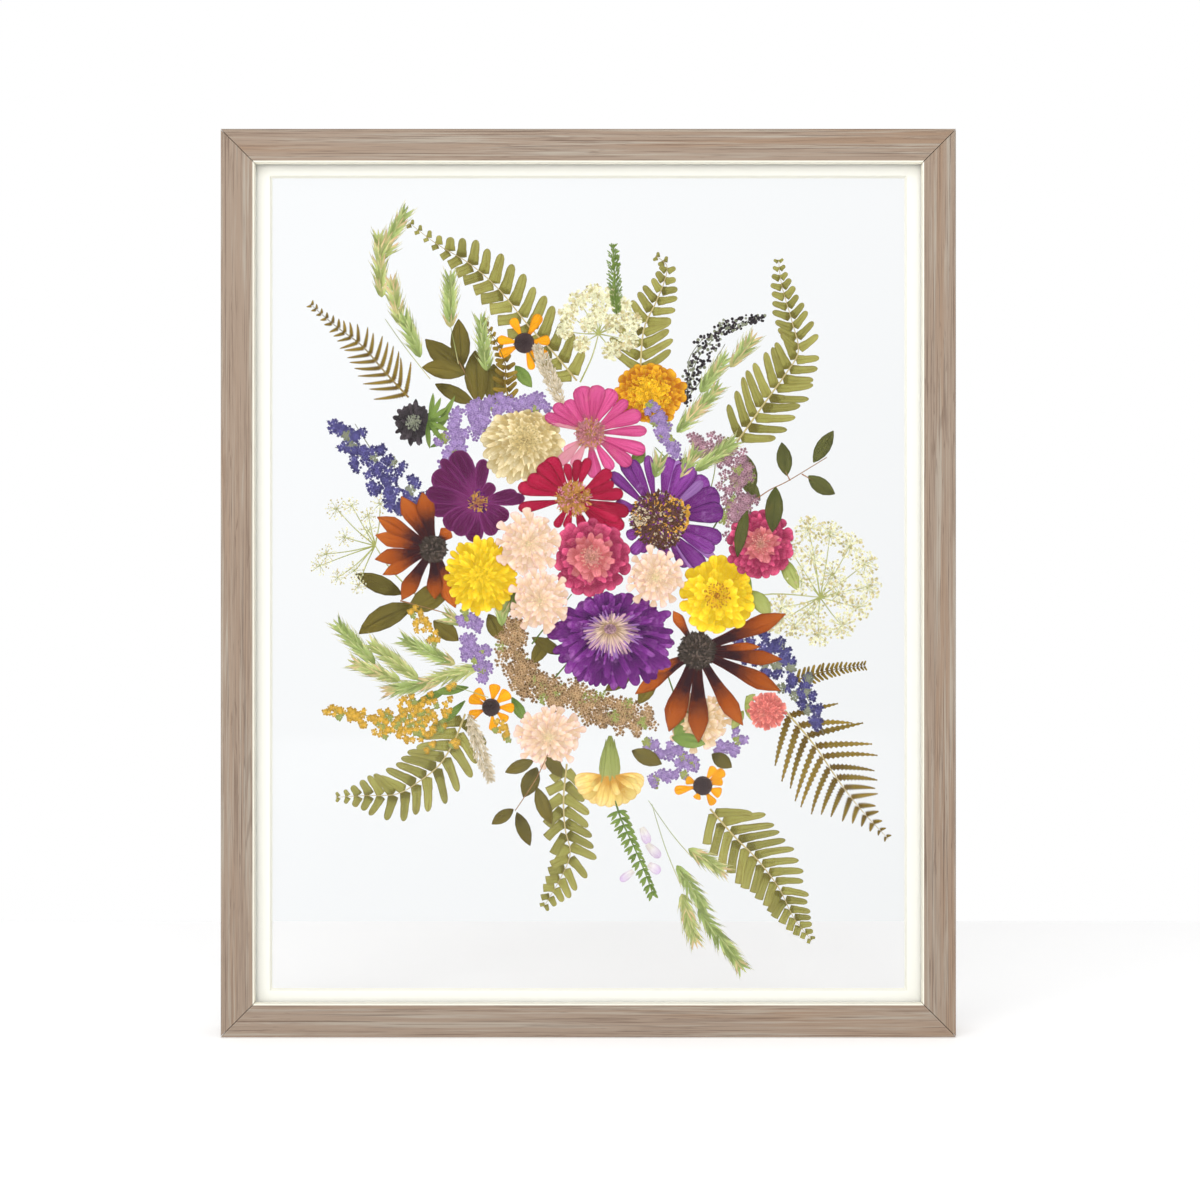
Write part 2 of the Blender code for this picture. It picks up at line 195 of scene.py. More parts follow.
class ShaderTree:
    """The node tree of a material or a world, built through a single method that adds nodes."""

    def __init__(self, owner: Union[bpy.types.Material, bpy.types.World]) -> None:
        """Give the material or world its nodes, with the shader that it starts with."""
        owner.use_nodes = True
        self.owner = owner
        self.nodes = owner.node_tree.nodes
        self.shader = self.nodes.get("Principled BSDF") or self.nodes["Background"]

    def add(self, kind: str, settings: Optional[dict] = None, sockets: Optional[dict] = None,
            output: Union[int, str] = 0) -> Signal:
        """Add a node, its settings first and then what its sockets take.

        Args:
            kind: the node's type.
            settings: properties of the node; "stops" holds a ramp's (place, colour) pairs.
            sockets: values or signals by socket name or number.
            output: which output to return, by its number or name.

        Returns:
            The chosen output.
        """
        node = self.nodes.new(kind)
        for key, value in (settings or {}).items():
            if key == "stops":
                elements = node.color_ramp.elements
                while len(elements) < len(value):
                    elements.new(0.5)
                for element, (place, colour) in zip(elements, value):
                    element.position = place
                    element.color = colour
            else:
                setattr(node, key, value)
        self.feed(node, sockets or {})
        return Signal(self, node.outputs[output])

    def feed(self, node: bpy.types.Node, sockets: dict) -> None:
        """Give a node's sockets their values or links.

        Args:
            node: the node.
            sockets: values or signals by socket name or number.
        """
        for key, value in sockets.items():
            if isinstance(value, Signal):
                self.owner.node_tree.links.new(value.socket, node.inputs[key])
            else:
                node.inputs[key].default_value = value

    def spot(self) -> Signal:
        """Where on the object, in metres."""
        return self.add("ShaderNodeTexCoord", output=3)

    def split(self, vector: Signal) -> tuple[Signal, Signal, Signal]:
        """Part a vector into its three values."""
        first = self.add("ShaderNodeSeparateXYZ", None, {0: vector})
        return tuple(Signal(self, output) for output in first.socket.node.outputs)

    def join(self, x: Value, y: Value, z: Value) -> Signal:
        """Make a vector of three values."""
        return self.add("ShaderNodeCombineXYZ", None, {0: x, 1: y, 2: z})

    def noise(self, vector: Signal, scale: float, detail: float = 2.0, rough: float = 0.5,
              bend: float = 0.0) -> Signal:
        """Soft noise.

        Args:
            vector: where it is read.
            scale: features for each unit of the vector.
            detail: layers of finer noise.
            rough: how strong the finer layers are.
            bend: how much the pattern is bent by itself.

        Returns:
            A value from 0 to 1.
        """
        sockets = {"Vector": vector, "Scale": scale, "Detail": detail, "Roughness": rough, "Distortion": bend}
        return self.add("ShaderNodeTexNoise", None, sockets)

    def stretch(self, vector: Signal, scale: tuple[float, float, float]) -> Signal:
        """Scale a vector by a Mapping node."""
        return self.add("ShaderNodeMapping", None, {"Vector": vector, "Scale": scale})

    def ramp(self, value: Signal, stops: Sequence[tuple[float, tuple]]) -> Signal:
        """Colours along a value."""
        return self.add("ShaderNodeValToRGB", {"stops": stops}, {0: value})

    def blend(self, share: Value, below: Value, over: Value, mode: str = "MIX") -> Signal:
        """Lay one colour over another.

        Args:
            share: how much of the upper colour shows.
            below: the lower colour.
            over: the upper colour.
            mode: how the two are combined.

        Returns:
            The mixed colour.
        """
        settings = {"data_type": "RGBA", "blend_type": mode, "clamp_factor": True}
        return self.add("ShaderNodeMix", settings, {0: share, 6: below, 7: over}, output=2)

    def bump(self, height: Value, strength: float, distance: float) -> Signal:
        """A normal from a height."""
        return self.add("ShaderNodeBump", None, {"Height": height, "Strength": strength, "Distance": distance})

    def dress(self, **sockets: Value) -> Union[bpy.types.Material, bpy.types.World]:
        """Set the shader's own sockets by name, with underscores for spaces.

        Args:
            sockets: values or signals by socket name.

        Returns:
            The finished material or world.
        """
        self.feed(self.shader, {key.replace("_", " "): value for key, value in sockets.items()})
        return self.owner


# -------------------------------------------------------------------- finishes


@dataclass(frozen=True)
class Finish:
    """Any finish: it makes its material once."""

    name: str

    def material(self) -> bpy.types.Material:
        """Return the material, made the first time that it is asked for."""
        return bpy.data.materials.get(self.name) or self.mix(ShaderTree(bpy.data.materials.new(self.name)))

    def mix(self, tree: ShaderTree) -> bpy.types.Material:
        """Build the material in a fresh tree."""
        raise NotImplementedError


@dataclass(frozen=True)
class PetalFinish(Finish):
    """A dried petal or leaf: coloured from root to tip, with veins, blotches and a darker rim partly of painted shade.
    """

    root: int = 0x785A28
    body: int = 0xC8A03C
    tip: int = 0xD2AA46
    vein: int = 0x5A3C1E
    veins: float = 0.35
    ribs: float = 9.0
    rim: float = 0.3
    stain: int = 0x785028
    stains: float = 0.25
    turn: float = 0.35
    midrib: float = 0.0
    spread: float = 0.45
    flecks: float = 520.0
    clouds: float = 150.0
    relief: float = 0.0006
    dull: float = 0.78

    def mix(self, tree: ShaderTree) -> bpy.types.Material:
        """Build the petal's material.

        Args:
            tree: the tree to build in.

        Returns:
            The material.
        """
        along, across, _ = tree.split(tree.add("ShaderNodeUVMap", {"uv_map": "petal"}))
        shade = tree.add("ShaderNodeAttribute", {"attribute_name": "shade"}, output=2)
        spot = tree.spot()
        fleck = tree.noise(spot, self.flecks, 3.0, 0.6)
        cloud = tree.noise(spot, self.clouds, 2.0, 0.5)
        place = along + (fleck - 0.5) * 0.35 + (shade - 0.5) * 0.25
        # Root to tip colour; in the layered flowers' finishes, whose turn is 0.9 or more, the dark root colour is
        # painted shade where each petal lies under the next whorl.
        stops = ((0.0, paint(self.root)), (self.turn * 0.45, paint(self.root)), (self.turn, paint(self.body)),
                 (1.0, paint(self.tip)))
        colour = tree.ramp(place, stops)
        lines = tree.noise(tree.join(along * 0.9, across * self.ribs * 0.55, shade * 37.0), 1.5, 3.0, 0.7, 0.3)
        colour = tree.blend(lines.above(0.48, 0.7) * self.veins, colour, paint(self.vein))
        colour = tree.blend(lines.above(0.5, 0.28) * self.veins * 0.45, colour, WHITE, "SOFT_LIGHT")
        # Darker rim and tip: partly the petal's own edge, partly painted shade in the gaps between overlapping petals.
        edge = (abs(across - 0.5) * 2.0) ** 5.0
        rim = (edge + along.above(0.9, 1.0) * 0.5) * min(self.rim * 1.7, 1.0)
        colour = tree.blend(rim, colour, paint(self.vein))
        if self.midrib:
            rib = abs(across - 0.5).above(0.07, 0.0) * self.midrib
            colour = tree.blend(rib, colour, paint(self.vein))
        blot = cloud.above(0.52, 0.74) * fleck.above(0.35, 0.7) * self.stains
        colour = tree.blend(blot, colour, paint(self.stain))
        # The shade attribute holds each copy's own tone, and in clumped clusters painted shade towards each clump's
        # edge.
        tone = 1.0 - self.spread * 0.5 + shade * self.spread
        colour = tree.blend(1.0, colour, tree.join(tone, tone, tone), "MULTIPLY")
        normal = tree.bump(lines * 0.8 + fleck * 0.5, 0.8, self.relief)
        return tree.dress(Base_Color=colour, Roughness=self.dull, Normal=normal, Specular_IOR_Level=0.25)


@dataclass(frozen=True)
class WoodFinish(Finish):
    """Weathered open-grained wood, greyed on its ridges and brown in its pores, with a pale sight edge.

    The grains are the broad bands, streaks, fine lines, pores and patches, each with its features for each metre
    across and along the wood, its detail, its roughness and its bend.
    """

    upright: bool = False
    sight: float = 0.0
    middle: float = 0.0
    ground: int = 0x998777
    warm: int = 0x977B63
    grey: int = 0xAAA194
    pore: int = 0x685448
    cream: int = 0xFFFBEC
    rings: float = 260.0
    fade: tuple[float, float] = (0.0009, 0.0003)
    relief: float = 0.0003
    grains: tuple[tuple[float, float, float, float, float], ...] = (
        (90.0, 3.0, 3.0, 0.55, 0.6), (420.0, 7.0, 4.0, 0.65, 0.3), (1300.0, 14.0, 3.0, 0.7, 0.0),
        (900.0, 55.0, 2.0, 0.6, 0.0), (30.0, 9.0, 2.0, 0.5, 0.0))

    def mix(self, tree: ShaderTree) -> bpy.types.Material:
        """Build the wood.

        Args:
            tree: the tree to build in.

        Returns:
            The material.
        """
        spot = tree.spot()
        x, y, z = tree.split(spot)
        run, over = (z, x) if self.upright else (x, z)
        grain = tree.join(over, y, run)
        broad, streak, fine, dash, patch = (
            tree.noise(tree.stretch(grain, (across, across, along)), 1.0, detail, rough, bend)
            for across, along, detail, rough, bend in self.grains)
        colour = tree.blend(broad.above(0.46, 0.7) * 0.6, paint(self.ground), paint(self.warm))
        colour = tree.blend(streak.above(0.48, 0.66) * 0.75, colour, paint(self.grey))
        colour = tree.blend(fine.above(0.5, 0.72) * 0.75, colour, paint(self.pore))
        colour = tree.blend(dash.above(0.62, 0.74) * patch.above(0.4, 0.6) * 0.55, colour, paint(self.pore))
        rings = (broad * 9.0 + over * self.rings) * 6.2832
        ring = tree.add("ShaderNodeMath", {"operation": "SINE"}, {0: rings})
        colour = tree.blend(ring.above(0.55, 0.98) * patch.above(0.35, 0.75) * 0.4, colour, paint(self.pore))
        sight = abs(over - self.middle).above(self.sight + self.fade[0], self.sight + self.fade[1])
        colour = tree.blend(sight, colour, paint(self.cream))
        height = (1.0 - fine.above(0.5, 0.8) - dash.above(0.6, 0.76) * 0.6) * (1.0 - sight)
        normal = tree.bump(height, 0.5, self.relief)
        return tree.dress(Base_Color=colour, Roughness=0.72 + fine * 0.15, Normal=normal, Specular_IOR_Level=0.3)


@dataclass(frozen=True)
class PineFinish(Finish):
    """Raw pine strips in the rebate."""

    upright: bool = False
    ground: int = 0xD6B88E
    line: int = 0xB08456

    def mix(self, tree: ShaderTree) -> bpy.types.Material:
        """Build the pine.

        Args:
            tree: the tree to build in.

        Returns:
            The material.
        """
        scale = (500.0, 500.0, 9.0) if self.upright else (9.0, 500.0, 500.0)
        streak = tree.noise(tree.stretch(tree.spot(), scale), 1.0, 3.0, 0.6, 0.3)
        colour = tree.blend(streak.above(0.45, 0.7) * 0.7, paint(self.ground), paint(self.line))
        return tree.dress(Base_Color=colour, Roughness=0.75, Normal=tree.bump(streak, 0.3, 0.0002))


@dataclass(frozen=True)
class BoardFinish(Finish):
    """Mat board and spacer: soft off-white paper with a slightly duller cut edge."""

    face: int = 0xFFFEF5
    cut: int = 0xF4F2E6
    half_width: float = 0.0
    half_height: float = 0.0
    middle: float = 0.0

    def mix(self, tree: ShaderTree) -> bpy.types.Material:
        """Build the board.

        Args:
            tree: the tree to build in.

        Returns:
            The material.
        """
        spot = tree.spot()
        fibre = tree.noise(spot, 2400.0, 3.0, 0.6)
        colour = tree.blend(fibre.above(0.35, 0.75) * 0.25, paint(self.face), paint(self.cut))
        if self.half_width:
            x, _, z = tree.split(spot)
            side = abs(x).above(self.half_width + 0.0001, self.half_width - 0.0001)
            rise = abs(z - self.middle).above(self.half_height + 0.0001, self.half_height - 0.0001)
            colour = tree.blend(side * rise, colour, paint(self.cut))
        return tree.dress(Base_Color=colour, Roughness=0.9, Normal=tree.bump(fibre, 0.2, 0.0001))


@dataclass(frozen=True)
class PaneFinish(Finish):
    """Clear glass, thin enough to look at the flowers without a veil of reflections."""

    tint: int = 0xFEFEFE
    bend: float = 1.2

    def mix(self, tree: ShaderTree) -> bpy.types.Material:
        """Build the glass.

        Args:
            tree: the tree to build in.

        Returns:
            The material.
        """
        haze = tree.noise(tree.spot(), 25.0, 2.0, 0.5)
        return tree.dress(Base_Color=paint(self.tint), Roughness=haze.above(0.6, 0.9) * 0.012,
                          Transmission_Weight=1.0, IOR=self.bend)


@dataclass(frozen=True)
class StageFinish(Finish):
    """The pale table."""

    tone: int = 0xFAFAFA
    glow: float = 0.3

    def mix(self, tree: ShaderTree) -> bpy.types.Material:
        """Build the table's plain paint."""
        return tree.dress(Base_Color=paint(self.tone), Roughness=0.6, Emission_Color=WHITE, Emission_Strength=self.glow)


# ------------------------------------------------------------- master shapes


class Shape(Enum):
    """The few shapes that everything in the bouquet is copied from."""

    STRAP = "strap"
    BROAD = "broad"
    SCALE = "scale"
    LANCE = "lance"
    DROOP = "droop"
    GLUME = "glume"
    PINNA = "pinna"
    CLIPPED = "clipped"
    COMB = "comb"
    OVAL = "oval"
    QUILL = "quill"
    FLORET = "floret"
    GRAIN = "grain"
    DOME = "dome"


PROFILES: dict[Shape, tuple[tuple[tuple[float, float], ...], int, float]] = {
    Shape.STRAP: (((0, .2), (.12, .28), (.3, .46), (.5, .74), (.72, .98), (.86, 1), (.95, .72)), 4, .05),
    Shape.BROAD: (((0, .16), (.12, .34), (.3, .66), (.5, .9), (.7, 1), (.86, .9), (.95, .6)), 4, .05),
    Shape.SCALE: (((0, .5), (.3, .82), (.6, 1), (.84, .84), (.95, .5)), 4, .05),
    Shape.LANCE: (((0, .12), (.15, .5), (.35, .85), (.55, 1), (.75, .8), (.9, .42), (1, .04)), 2, .0),
    Shape.DROOP: (((0, .46), (.2, .54), (.4, .72), (.58, .96), (.72, 1), (.86, .6), (.95, .24), (1, .05)), 4, .0),
    Shape.GLUME: (((0, .3), (.25, 1), (.5, .85), (.75, .5), (1, .04)), 2, .0),
    Shape.PINNA: (((0, .3), (.05, 1.05), (.16, .94), (.4, .84), (.65, .8), (.84, .7), (.94, .46)), 4, .05),
    Shape.CLIPPED: (((0, .4), (.06, 1.1), (.3, .95), (.6, .92), (.96, .98)), 4, .02),
    Shape.COMB: (tuple((i / 22, (.5 if i % 2 else 1.0) * (1.02 - .8 * (i / 22) ** 2)) for i in range(23)), 2, .0),
    Shape.OVAL: (((0, .08), (.12, .5), (.3, .88), (.5, 1), (.7, .85), (.88, .45), (1, .05)), 4, .0),
    Shape.QUILL: (((0, .5), (.5, .8), (.85, 1), (1, .5)), 2, .0),
}


@dataclass
class Master:
    """One shape ready to be copied: points along, across and through it, faces and a flat map."""

    points: np.ndarray
    corners: np.ndarray
    sizes: np.ndarray
    chart: np.ndarray


@dataclass
class ShapeShop:
    """Cuts each master shape once, as by hand, and keeps it."""

    wall: float = 0.1
    masters: dict[Shape, Master] = field(default_factory=dict)

    def get(self, shape: Shape) -> Master:
        """Return a master, cut the first time that it is asked for."""
        if shape not in self.masters:
            cutters = {Shape.FLORET: self.floret, Shape.GRAIN: self.grain, Shape.DOME: self.dome}
            thing = cutters[shape]() if shape in cutters else self.blade(*PROFILES[shape])
            self.masters[shape] = self.keep(thing, shape)
        return self.masters[shape]

    def blade(self, rows: Sequence[tuple[float, float]], columns: int, crown: float) -> bpy.types.Object:
        """Shape a grid row by row into a petal or leaf, and give it its thickness.

        Args:
            rows: places along the blade with the width there.
            columns: faces across.
            crown: how far the tip's middle stands out.

        Returns:
            The blade, from 0 to 1 along X and one wide at its widest.
        """
        count = len(rows) - 1
        thing = self.start(bpy.ops.mesh.primitive_grid_add, x_subdivisions=count, y_subdivisions=columns, size=1.0,
                           location=(0.5, 0, 0))
        bpy.ops.object.transform_apply(location=True, rotation=True, scale=True)
        for index, (_, width) in enumerate(rows):
            self.stretch(thing, self.row(thing, index / count), (1.0, width, 1.0), (index / count, 0.0, 0.0))
        self.slide(thing, [row[0] for row in rows], crown)
        self.thicken(thing)
        return thing

    def start(self, primitive: Callable[..., set], **settings: object) -> bpy.types.Object:
        """Add a primitive with nothing else selected.

        Args:
            primitive: the operator that adds it.
            settings: the operator's own settings.

        Returns:
            The new object.
        """
        bpy.ops.object.select_all(action="DESELECT")
        primitive(**settings)
        return bpy.context.object

    def row(self, thing: bpy.types.Object, place: float) -> list[bool]:
        """Which vertices stand in the row at a place along the blade."""
        return [abs(v.co.x - place) < ROW_SLACK for v in thing.data.vertices]

    def pick(self, thing: bpy.types.Object, chosen: Sequence[bool]) -> None:
        """Select some vertices and go into edit mode.

        Args:
            thing: the object.
            chosen: for each vertex, whether it is selected.
        """
        bpy.context.view_layer.objects.active = thing
        bpy.ops.object.mode_set(mode="EDIT")
        bpy.ops.mesh.select_mode(type="VERT")
        bpy.ops.mesh.select_all(action="DESELECT")
        bpy.ops.object.mode_set(mode="OBJECT")
        thing.data.vertices.foreach_set("select", list(chosen))
        bpy.ops.object.mode_set(mode="EDIT")

    def stretch(self, thing: bpy.types.Object, chosen: Sequence[bool], scale: tuple[float, float, float],
                centre: tuple[float, float, float] = (0.0, 0.0, 0.0)) -> None:
        """Scale some vertices about a centre.

        Args:
            thing: the object.
            chosen: for each vertex, whether it is scaled.
            scale: the scale on each axis.
            centre: what stays in place.
        """
        self.pick(thing, chosen)
        bpy.ops.transform.resize(value=scale, center_override=centre)
        bpy.ops.object.mode_set(mode="OBJECT")

    def shift(self, thing: bpy.types.Object, chosen: Sequence[bool], way: float) -> None:
        """Move some vertices along the blade.

        Args:
            thing: the object.
            chosen: for each vertex, whether it moves.
            way: how far.
        """
        self.pick(thing, chosen)
        bpy.ops.transform.translate(value=(way, 0.0, 0.0))
        bpy.ops.object.mode_set(mode="OBJECT")

    def slide(self, thing: bpy.types.Object, places: Sequence[float], crown: float) -> None:
        """Move the rows to their places along the blade, and round or notch its tip.

        Args:
            thing: the blade.
            places: where each row ends up.
            crown: how far the tip's middle stands out.
        """
        count = len(places) - 1
        for index in range(count, -1, -1):
            way = places[index] - index / count
            if abs(way) > 1e-4 and (way > 0 or index == 0 or places[index] > (index - 1) / count):
                self.shift(thing, self.row(thing, index / count), way)
        if crown:
            vertices = thing.data.vertices
            reach = max(v.co.x for v in vertices)
            wide = max(abs(v.co.y) for v in vertices if v.co.x > reach - ROW_SLACK)
            for share, part in ((0.6, 0.7), (0.1, 0.3)):
                self.shift(thing, [v.co.x > reach - ROW_SLACK and abs(v.co.y) < wide * share + 1e-4 for v in vertices],
                           crown * part)
                reach = max(v.co.x for v in vertices)

    def thicken(self, thing: bpy.types.Object) -> None:
        """Give a flat sheet its thickness with an applied modifier."""
        wall = thing.modifiers.new("wall", "SOLIDIFY")
        wall.thickness = self.wall
        wall.offset = 0.0
        bpy.context.view_layer.objects.active = thing
        bpy.ops.object.modifier_apply(modifier=wall.name)

    def floret(self) -> bpy.types.Object:
        """Five rounded lobes round a middle, one unit across."""
        thing = self.start(bpy.ops.mesh.primitive_circle_add, vertices=10, radius=0.5, fill_type="TRIFAN")
        notches = [v.index for v in thing.data.vertices if v.co.length > 0.4][::2]
        self.stretch(thing, [v.index in notches for v in thing.data.vertices], (0.55, 0.55, 1.0))
        self.thicken(thing)
        return thing

    def grain(self) -> bpy.types.Object:
        """A seed, bead or stamen head with few faces."""
        thing = self.start(bpy.ops.mesh.primitive_ico_sphere_add, subdivisions=1, radius=0.5)
        self.stretch(thing, [abs(v.co.z) > 0.4 for v in thing.data.vertices], (1.0, 1.0, 0.9))
        return thing

    def dome(self) -> bpy.types.Object:
        """A rounder cone or cushion for a flower's middle."""
        thing = self.start(bpy.ops.mesh.primitive_uv_sphere_add, segments=24, ring_count=14, radius=0.5)
        self.stretch(thing, [abs(v.co.z) > 0.42 for v in thing.data.vertices], (1.0, 1.0, 0.93))
        return thing

    def keep(self, thing: bpy.types.Object, shape: Shape) -> Master:
        """Read a finished master and remove its object.

        Args:
            thing: the modelled object.
            shape: which master it is.

        Returns:
            The master.
        """
        mesh = thing.data
        points = np.empty(len(mesh.vertices) * 3)
        mesh.vertices.foreach_get("co", points)
        points = points.reshape(-1, 3)
        points[:, 2] /= max(np.abs(points[:, 2]).max(), 1e-9)
        corners = np.empty(len(mesh.loops), dtype=np.int64)
        mesh.loops.foreach_get("vertex_index", corners)
        sizes = np.array([len(p.vertices) for p in mesh.polygons])
        if shape in PROFILES:
            chart = np.empty(len(mesh.loops) * 2)
            mesh.uv_layers.active.data.foreach_get("uv", chart)
            chart = chart.reshape(-1, 2)
            chart[:, 0] = points[corners][:, 0]
        else:
            flat = points[corners]
            turns = np.arctan2(flat[:, 1], flat[:, 0]) / math.tau + 0.5
            chart = np.stack([np.hypot(flat[:, 0], flat[:, 1]) * 2, turns], 1)
        bpy.data.objects.remove(thing)
        bpy.data.meshes.remove(mesh)
        return Master(points, corners, sizes, chart)


SHOP = ShapeShop()


def curve(path: Sequence[Spot], steps: int = 5) -> list[np.ndarray]:
    """Smooth a path through its points.

    Args:
        path: the points.
        steps: points for each stretch.

    Returns:
        The finer path.
    """
    points = [np.array(p, dtype=float) for p in path]
    out = []
    for index in range(len(points) - 1):
        p0, p1, p2 = points[max(index - 1, 0)], points[index], points[index + 1]
        p3 = points[min(index + 2, len(points) - 1)]
        for step in range(steps):
            t = step / steps
            out.append(0.5 * (2 * p1 + (p2 - p0) * t + (2 * p0 - 5 * p1 + 4 * p2 - p3) * t * t
                              + (3 * p1 - p0 - 3 * p2 + p3) * t ** 3))
    return out + [points[-1]]


class Spray:
    """Copies of the masters and stems, gathered into one mesh that lies in one layer of the bouquet."""

    def __init__(self, name: str, coats: Sequence[Finish], ground: float) -> None:
        """Start an empty spray.

        Args:
            name: the piece's name.
            coats: its finishes.
            ground: the depth of the layer's back, in metres.
        """
        self.name = name
        self.coats = coats
        self.ground = ground / MM
        self.chance = random.Random(name)
        self.points: list[np.ndarray] = []
        self.corners: list[np.ndarray] = []
        self.sizes: list[np.ndarray] = []
        self.chart: list[np.ndarray] = []
        self.shade: list[np.ndarray] = []
        self.coat: list[np.ndarray] = []
        self.count = 0

    def put(self, points: np.ndarray, corners: np.ndarray, sizes: np.ndarray, chart: np.ndarray, coat: int,
            shade: Optional[float]) -> None:
        """Append a closed shape that is already in place.

        Args:
            points: its vertices, in millimetres.
            corners: the vertex of each face corner.
            sizes: how many corners each face has.
            chart: the flat map's place of each corner.
            coat: which finish.
            shade: its lightness from 0 to 1, its own tone and in clumps also painted shade, or None for any.
        """
        self.points.append(points)
        self.corners.append(corners + self.count)
        self.sizes.append(sizes)
        self.chart.append(chart)
        self.coat.append(np.full(len(sizes), coat))
        value = self.chance.random() if shade is None else shade
        self.shade.append(np.full(len(points), value))
        self.count += len(points)

    def add(self, shape: Shape, base: Spot, angle: float, length: float, width: float, coat: int = 0,
            lift: float = 0.2, rise: float = 0.0, arch: float = 0.0, cup: float = 0.0, bow: float = 0.0,
            thick: float = 0.06, shade: Optional[float] = None) -> None:
        """Lay one copy of a master.

        Args:
            shape: the master.
            base: where its root, or its middle if it is round, lies.
            angle: its direction in degrees, 0 to the right and 90 up.
            length: its length.
            width: its width.
            coat: which finish.
            lift: how far its root stands off the layer's back.
            rise: how much further its tip stands off.
            arch: how much further its middle stands off.
            cup: how much lower its sides lie than its middle.
            bow: how much it turns to the left on the way to its tip, in radians.
            thick: half its thickness.
            shade: its lightness from 0 to 1, its own tone and in clumps also painted shade, or None for any.
        """
        master = SHOP.get(shape)
        u, s, t = master.points.T
        if abs(bow) > 1e-3:
            turn = bow * u
            px = length * np.sin(turn) / bow - s * width * np.sin(turn)
            pz = length * (1 - np.cos(turn)) / bow + s * width * np.cos(turn)
        else:
            px, pz = length * u, s * width
        way = math.radians(angle)
        ca, sa = math.cos(way), math.sin(way)
        x = base[0] + px * ca - pz * sa
        z = base[1] + px * sa + pz * ca
        y = self.ground - (lift + rise * u + arch * 4 * u * (1 - u) - cup * (2 * s) ** 2 + t * thick)
        self.put(np.stack([x, y, z], 1), master.corners, master.sizes, master.chart, coat, shade)

    def stem(self, path: Sequence[Spot], start: float, end: float, coat: int = 0, lift: float = 0.2,
             smooth: bool = True) -> None:
        """Lay a stem along a path.

        Args:
            path: its points.
            start: its thickness at the start.
            end: its thickness at the end.
            coat: which finish.
            lift: how far its middle stands off the layer's back.
            smooth: whether the path is curved.
        """
        line = np.array(curve(path) if smooth and len(path) > 2 else path, dtype=float)
        count = len(line)
        slope = np.gradient(line, axis=0)
        slope /= np.maximum(np.linalg.norm(slope, axis=1, keepdims=True), 1e-9)
        normal = np.stack([-slope[:, 1], slope[:, 0]], 1)
        half = np.linspace(start, end, count)[:, None] / 2
        rows = []
        for side, out in ((1, 0), (0, 1), (-1, 0), (0, -1)):
            flat = line + normal * half * side
            depth = self.ground - lift - out * np.minimum(half[:, 0], 0.3)
            rows.append(np.stack([flat[:, 0], depth, flat[:, 1]], 1))
        points = np.stack(rows, 1).reshape(-1, 3)
        faces = [[i * 4 + j, i * 4 + (j + 1) % 4, i * 4 + 4 + (j + 1) % 4, i * 4 + 4 + j]
                 for i in range(count - 1) for j in range(4)]
        faces += [[3, 2, 1, 0], [count * 4 - 4 + j for j in range(4)]]
        corners = np.array(faces).ravel()
        chart = np.stack([corners // 4 / max(count - 1, 1), (corners % 4) / 4], 1)
        self.put(points, corners, np.full(len(faces), 4), chart, coat, 0.5)

    def finish(self, *nodes: str) -> bpy.types.Object:
        """Make the piece, dress it and let it stand for its CAD nodes.

        Args:
            nodes: the CAD nodes that it stands for.

        Returns:
            The piece.
        """
        mesh = bpy.data.meshes.new(self.name)
        points = np.concatenate(self.points) * MM
        corners, sizes = np.concatenate(self.corners), np.concatenate(self.sizes)
        mesh.vertices.add(len(points))
        mesh.vertices.foreach_set("co", points.astype(np.float32).ravel())
        mesh.loops.add(len(corners))
        mesh.loops.foreach_set("vertex_index", corners.astype(np.int32))
        mesh.polygons.add(len(sizes))
        starts = np.concatenate([[0], np.cumsum(sizes)[:-1]])
        mesh.polygons.foreach_set("loop_start", starts.astype(np.int32))
        mesh.polygons.foreach_set("material_index", np.concatenate(self.coat).astype(np.int32))
        mesh.update(calc_edges=True)
        layer = mesh.uv_layers.new(name="petal")
        layer.data.foreach_set("uv", np.concatenate(self.chart).astype(np.float32).ravel())
        shade = mesh.attributes.new("shade", "FLOAT", "POINT")
        shade.data.foreach_set("value", np.concatenate(self.shade).astype(np.float32))
        mesh.validate()
        piece = bpy.data.objects.new(self.name, mesh)
        bpy.context.scene.collection.objects.link(piece)
        for coat in self.coats:
            mesh.materials.append(coat.material())
        bpy.ops.object.select_all(action="DESELECT")
        bpy.context.view_layer.objects.active = piece
        piece.select_set(True)
        bpy.ops.object.shade_smooth_by_angle(angle=SMOOTH_ANGLE)
        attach(piece, "root")
        if nodes:
            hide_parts(*nodes)
        LOG.info("%s: %d faces", self.name, len(sizes))
        return piece


# ------------------------------------------------------------------ colours

# Petal finishes take root, body, tip, vein, veins, ribs, rim, stain, stains, turn, midrib and spread in that order.
# Where turn is 0.9 or more, in the layered flowers, the dark root colour is painted shade under the next whorl.
FERN = PetalFinish("fern_green", 0x706A2C, 0x96934A, 0xA29D56, 0x68581E, 0.5, 7, 0.35, 0x6E5422, 0.45, 0.2, 0.35, 0.3)
FERN_STALK = PetalFinish("fern_stalk", 0xC4B278, 0xD6C696, 0xCEBE82, 0x967846, 0.3)
BRACKEN = PetalFinish("bracken_brown", 0x6E5618, 0x846E26, 0x967C2E, 0x543C10, 0.5, 6, 0.3, 0x5A3C14, 0.4, 0.3, 0.3,
                      0.3)
OLIVE = PetalFinish("olive_leaf", 0x544A18, 0x6A602A, 0x706226, 0x3E3412, 0.45, 5, 0.25, 0x827028, 0.4, 0.25, 0.45,
                    0.3)
TWIG_LEAF = PetalFinish("twig_leaf", 0x565A28, 0x5C5E30, 0x54542A, 0x383A1A, 0.5, 5, 0.3, 0x78682C, 0.4, 0.25, 0.45,
                        0.25)
TWIG = PetalFinish("twig_bark", 0xAA7854, 0xBC8C64, 0xAA825A, 0x784C32, 0.3)
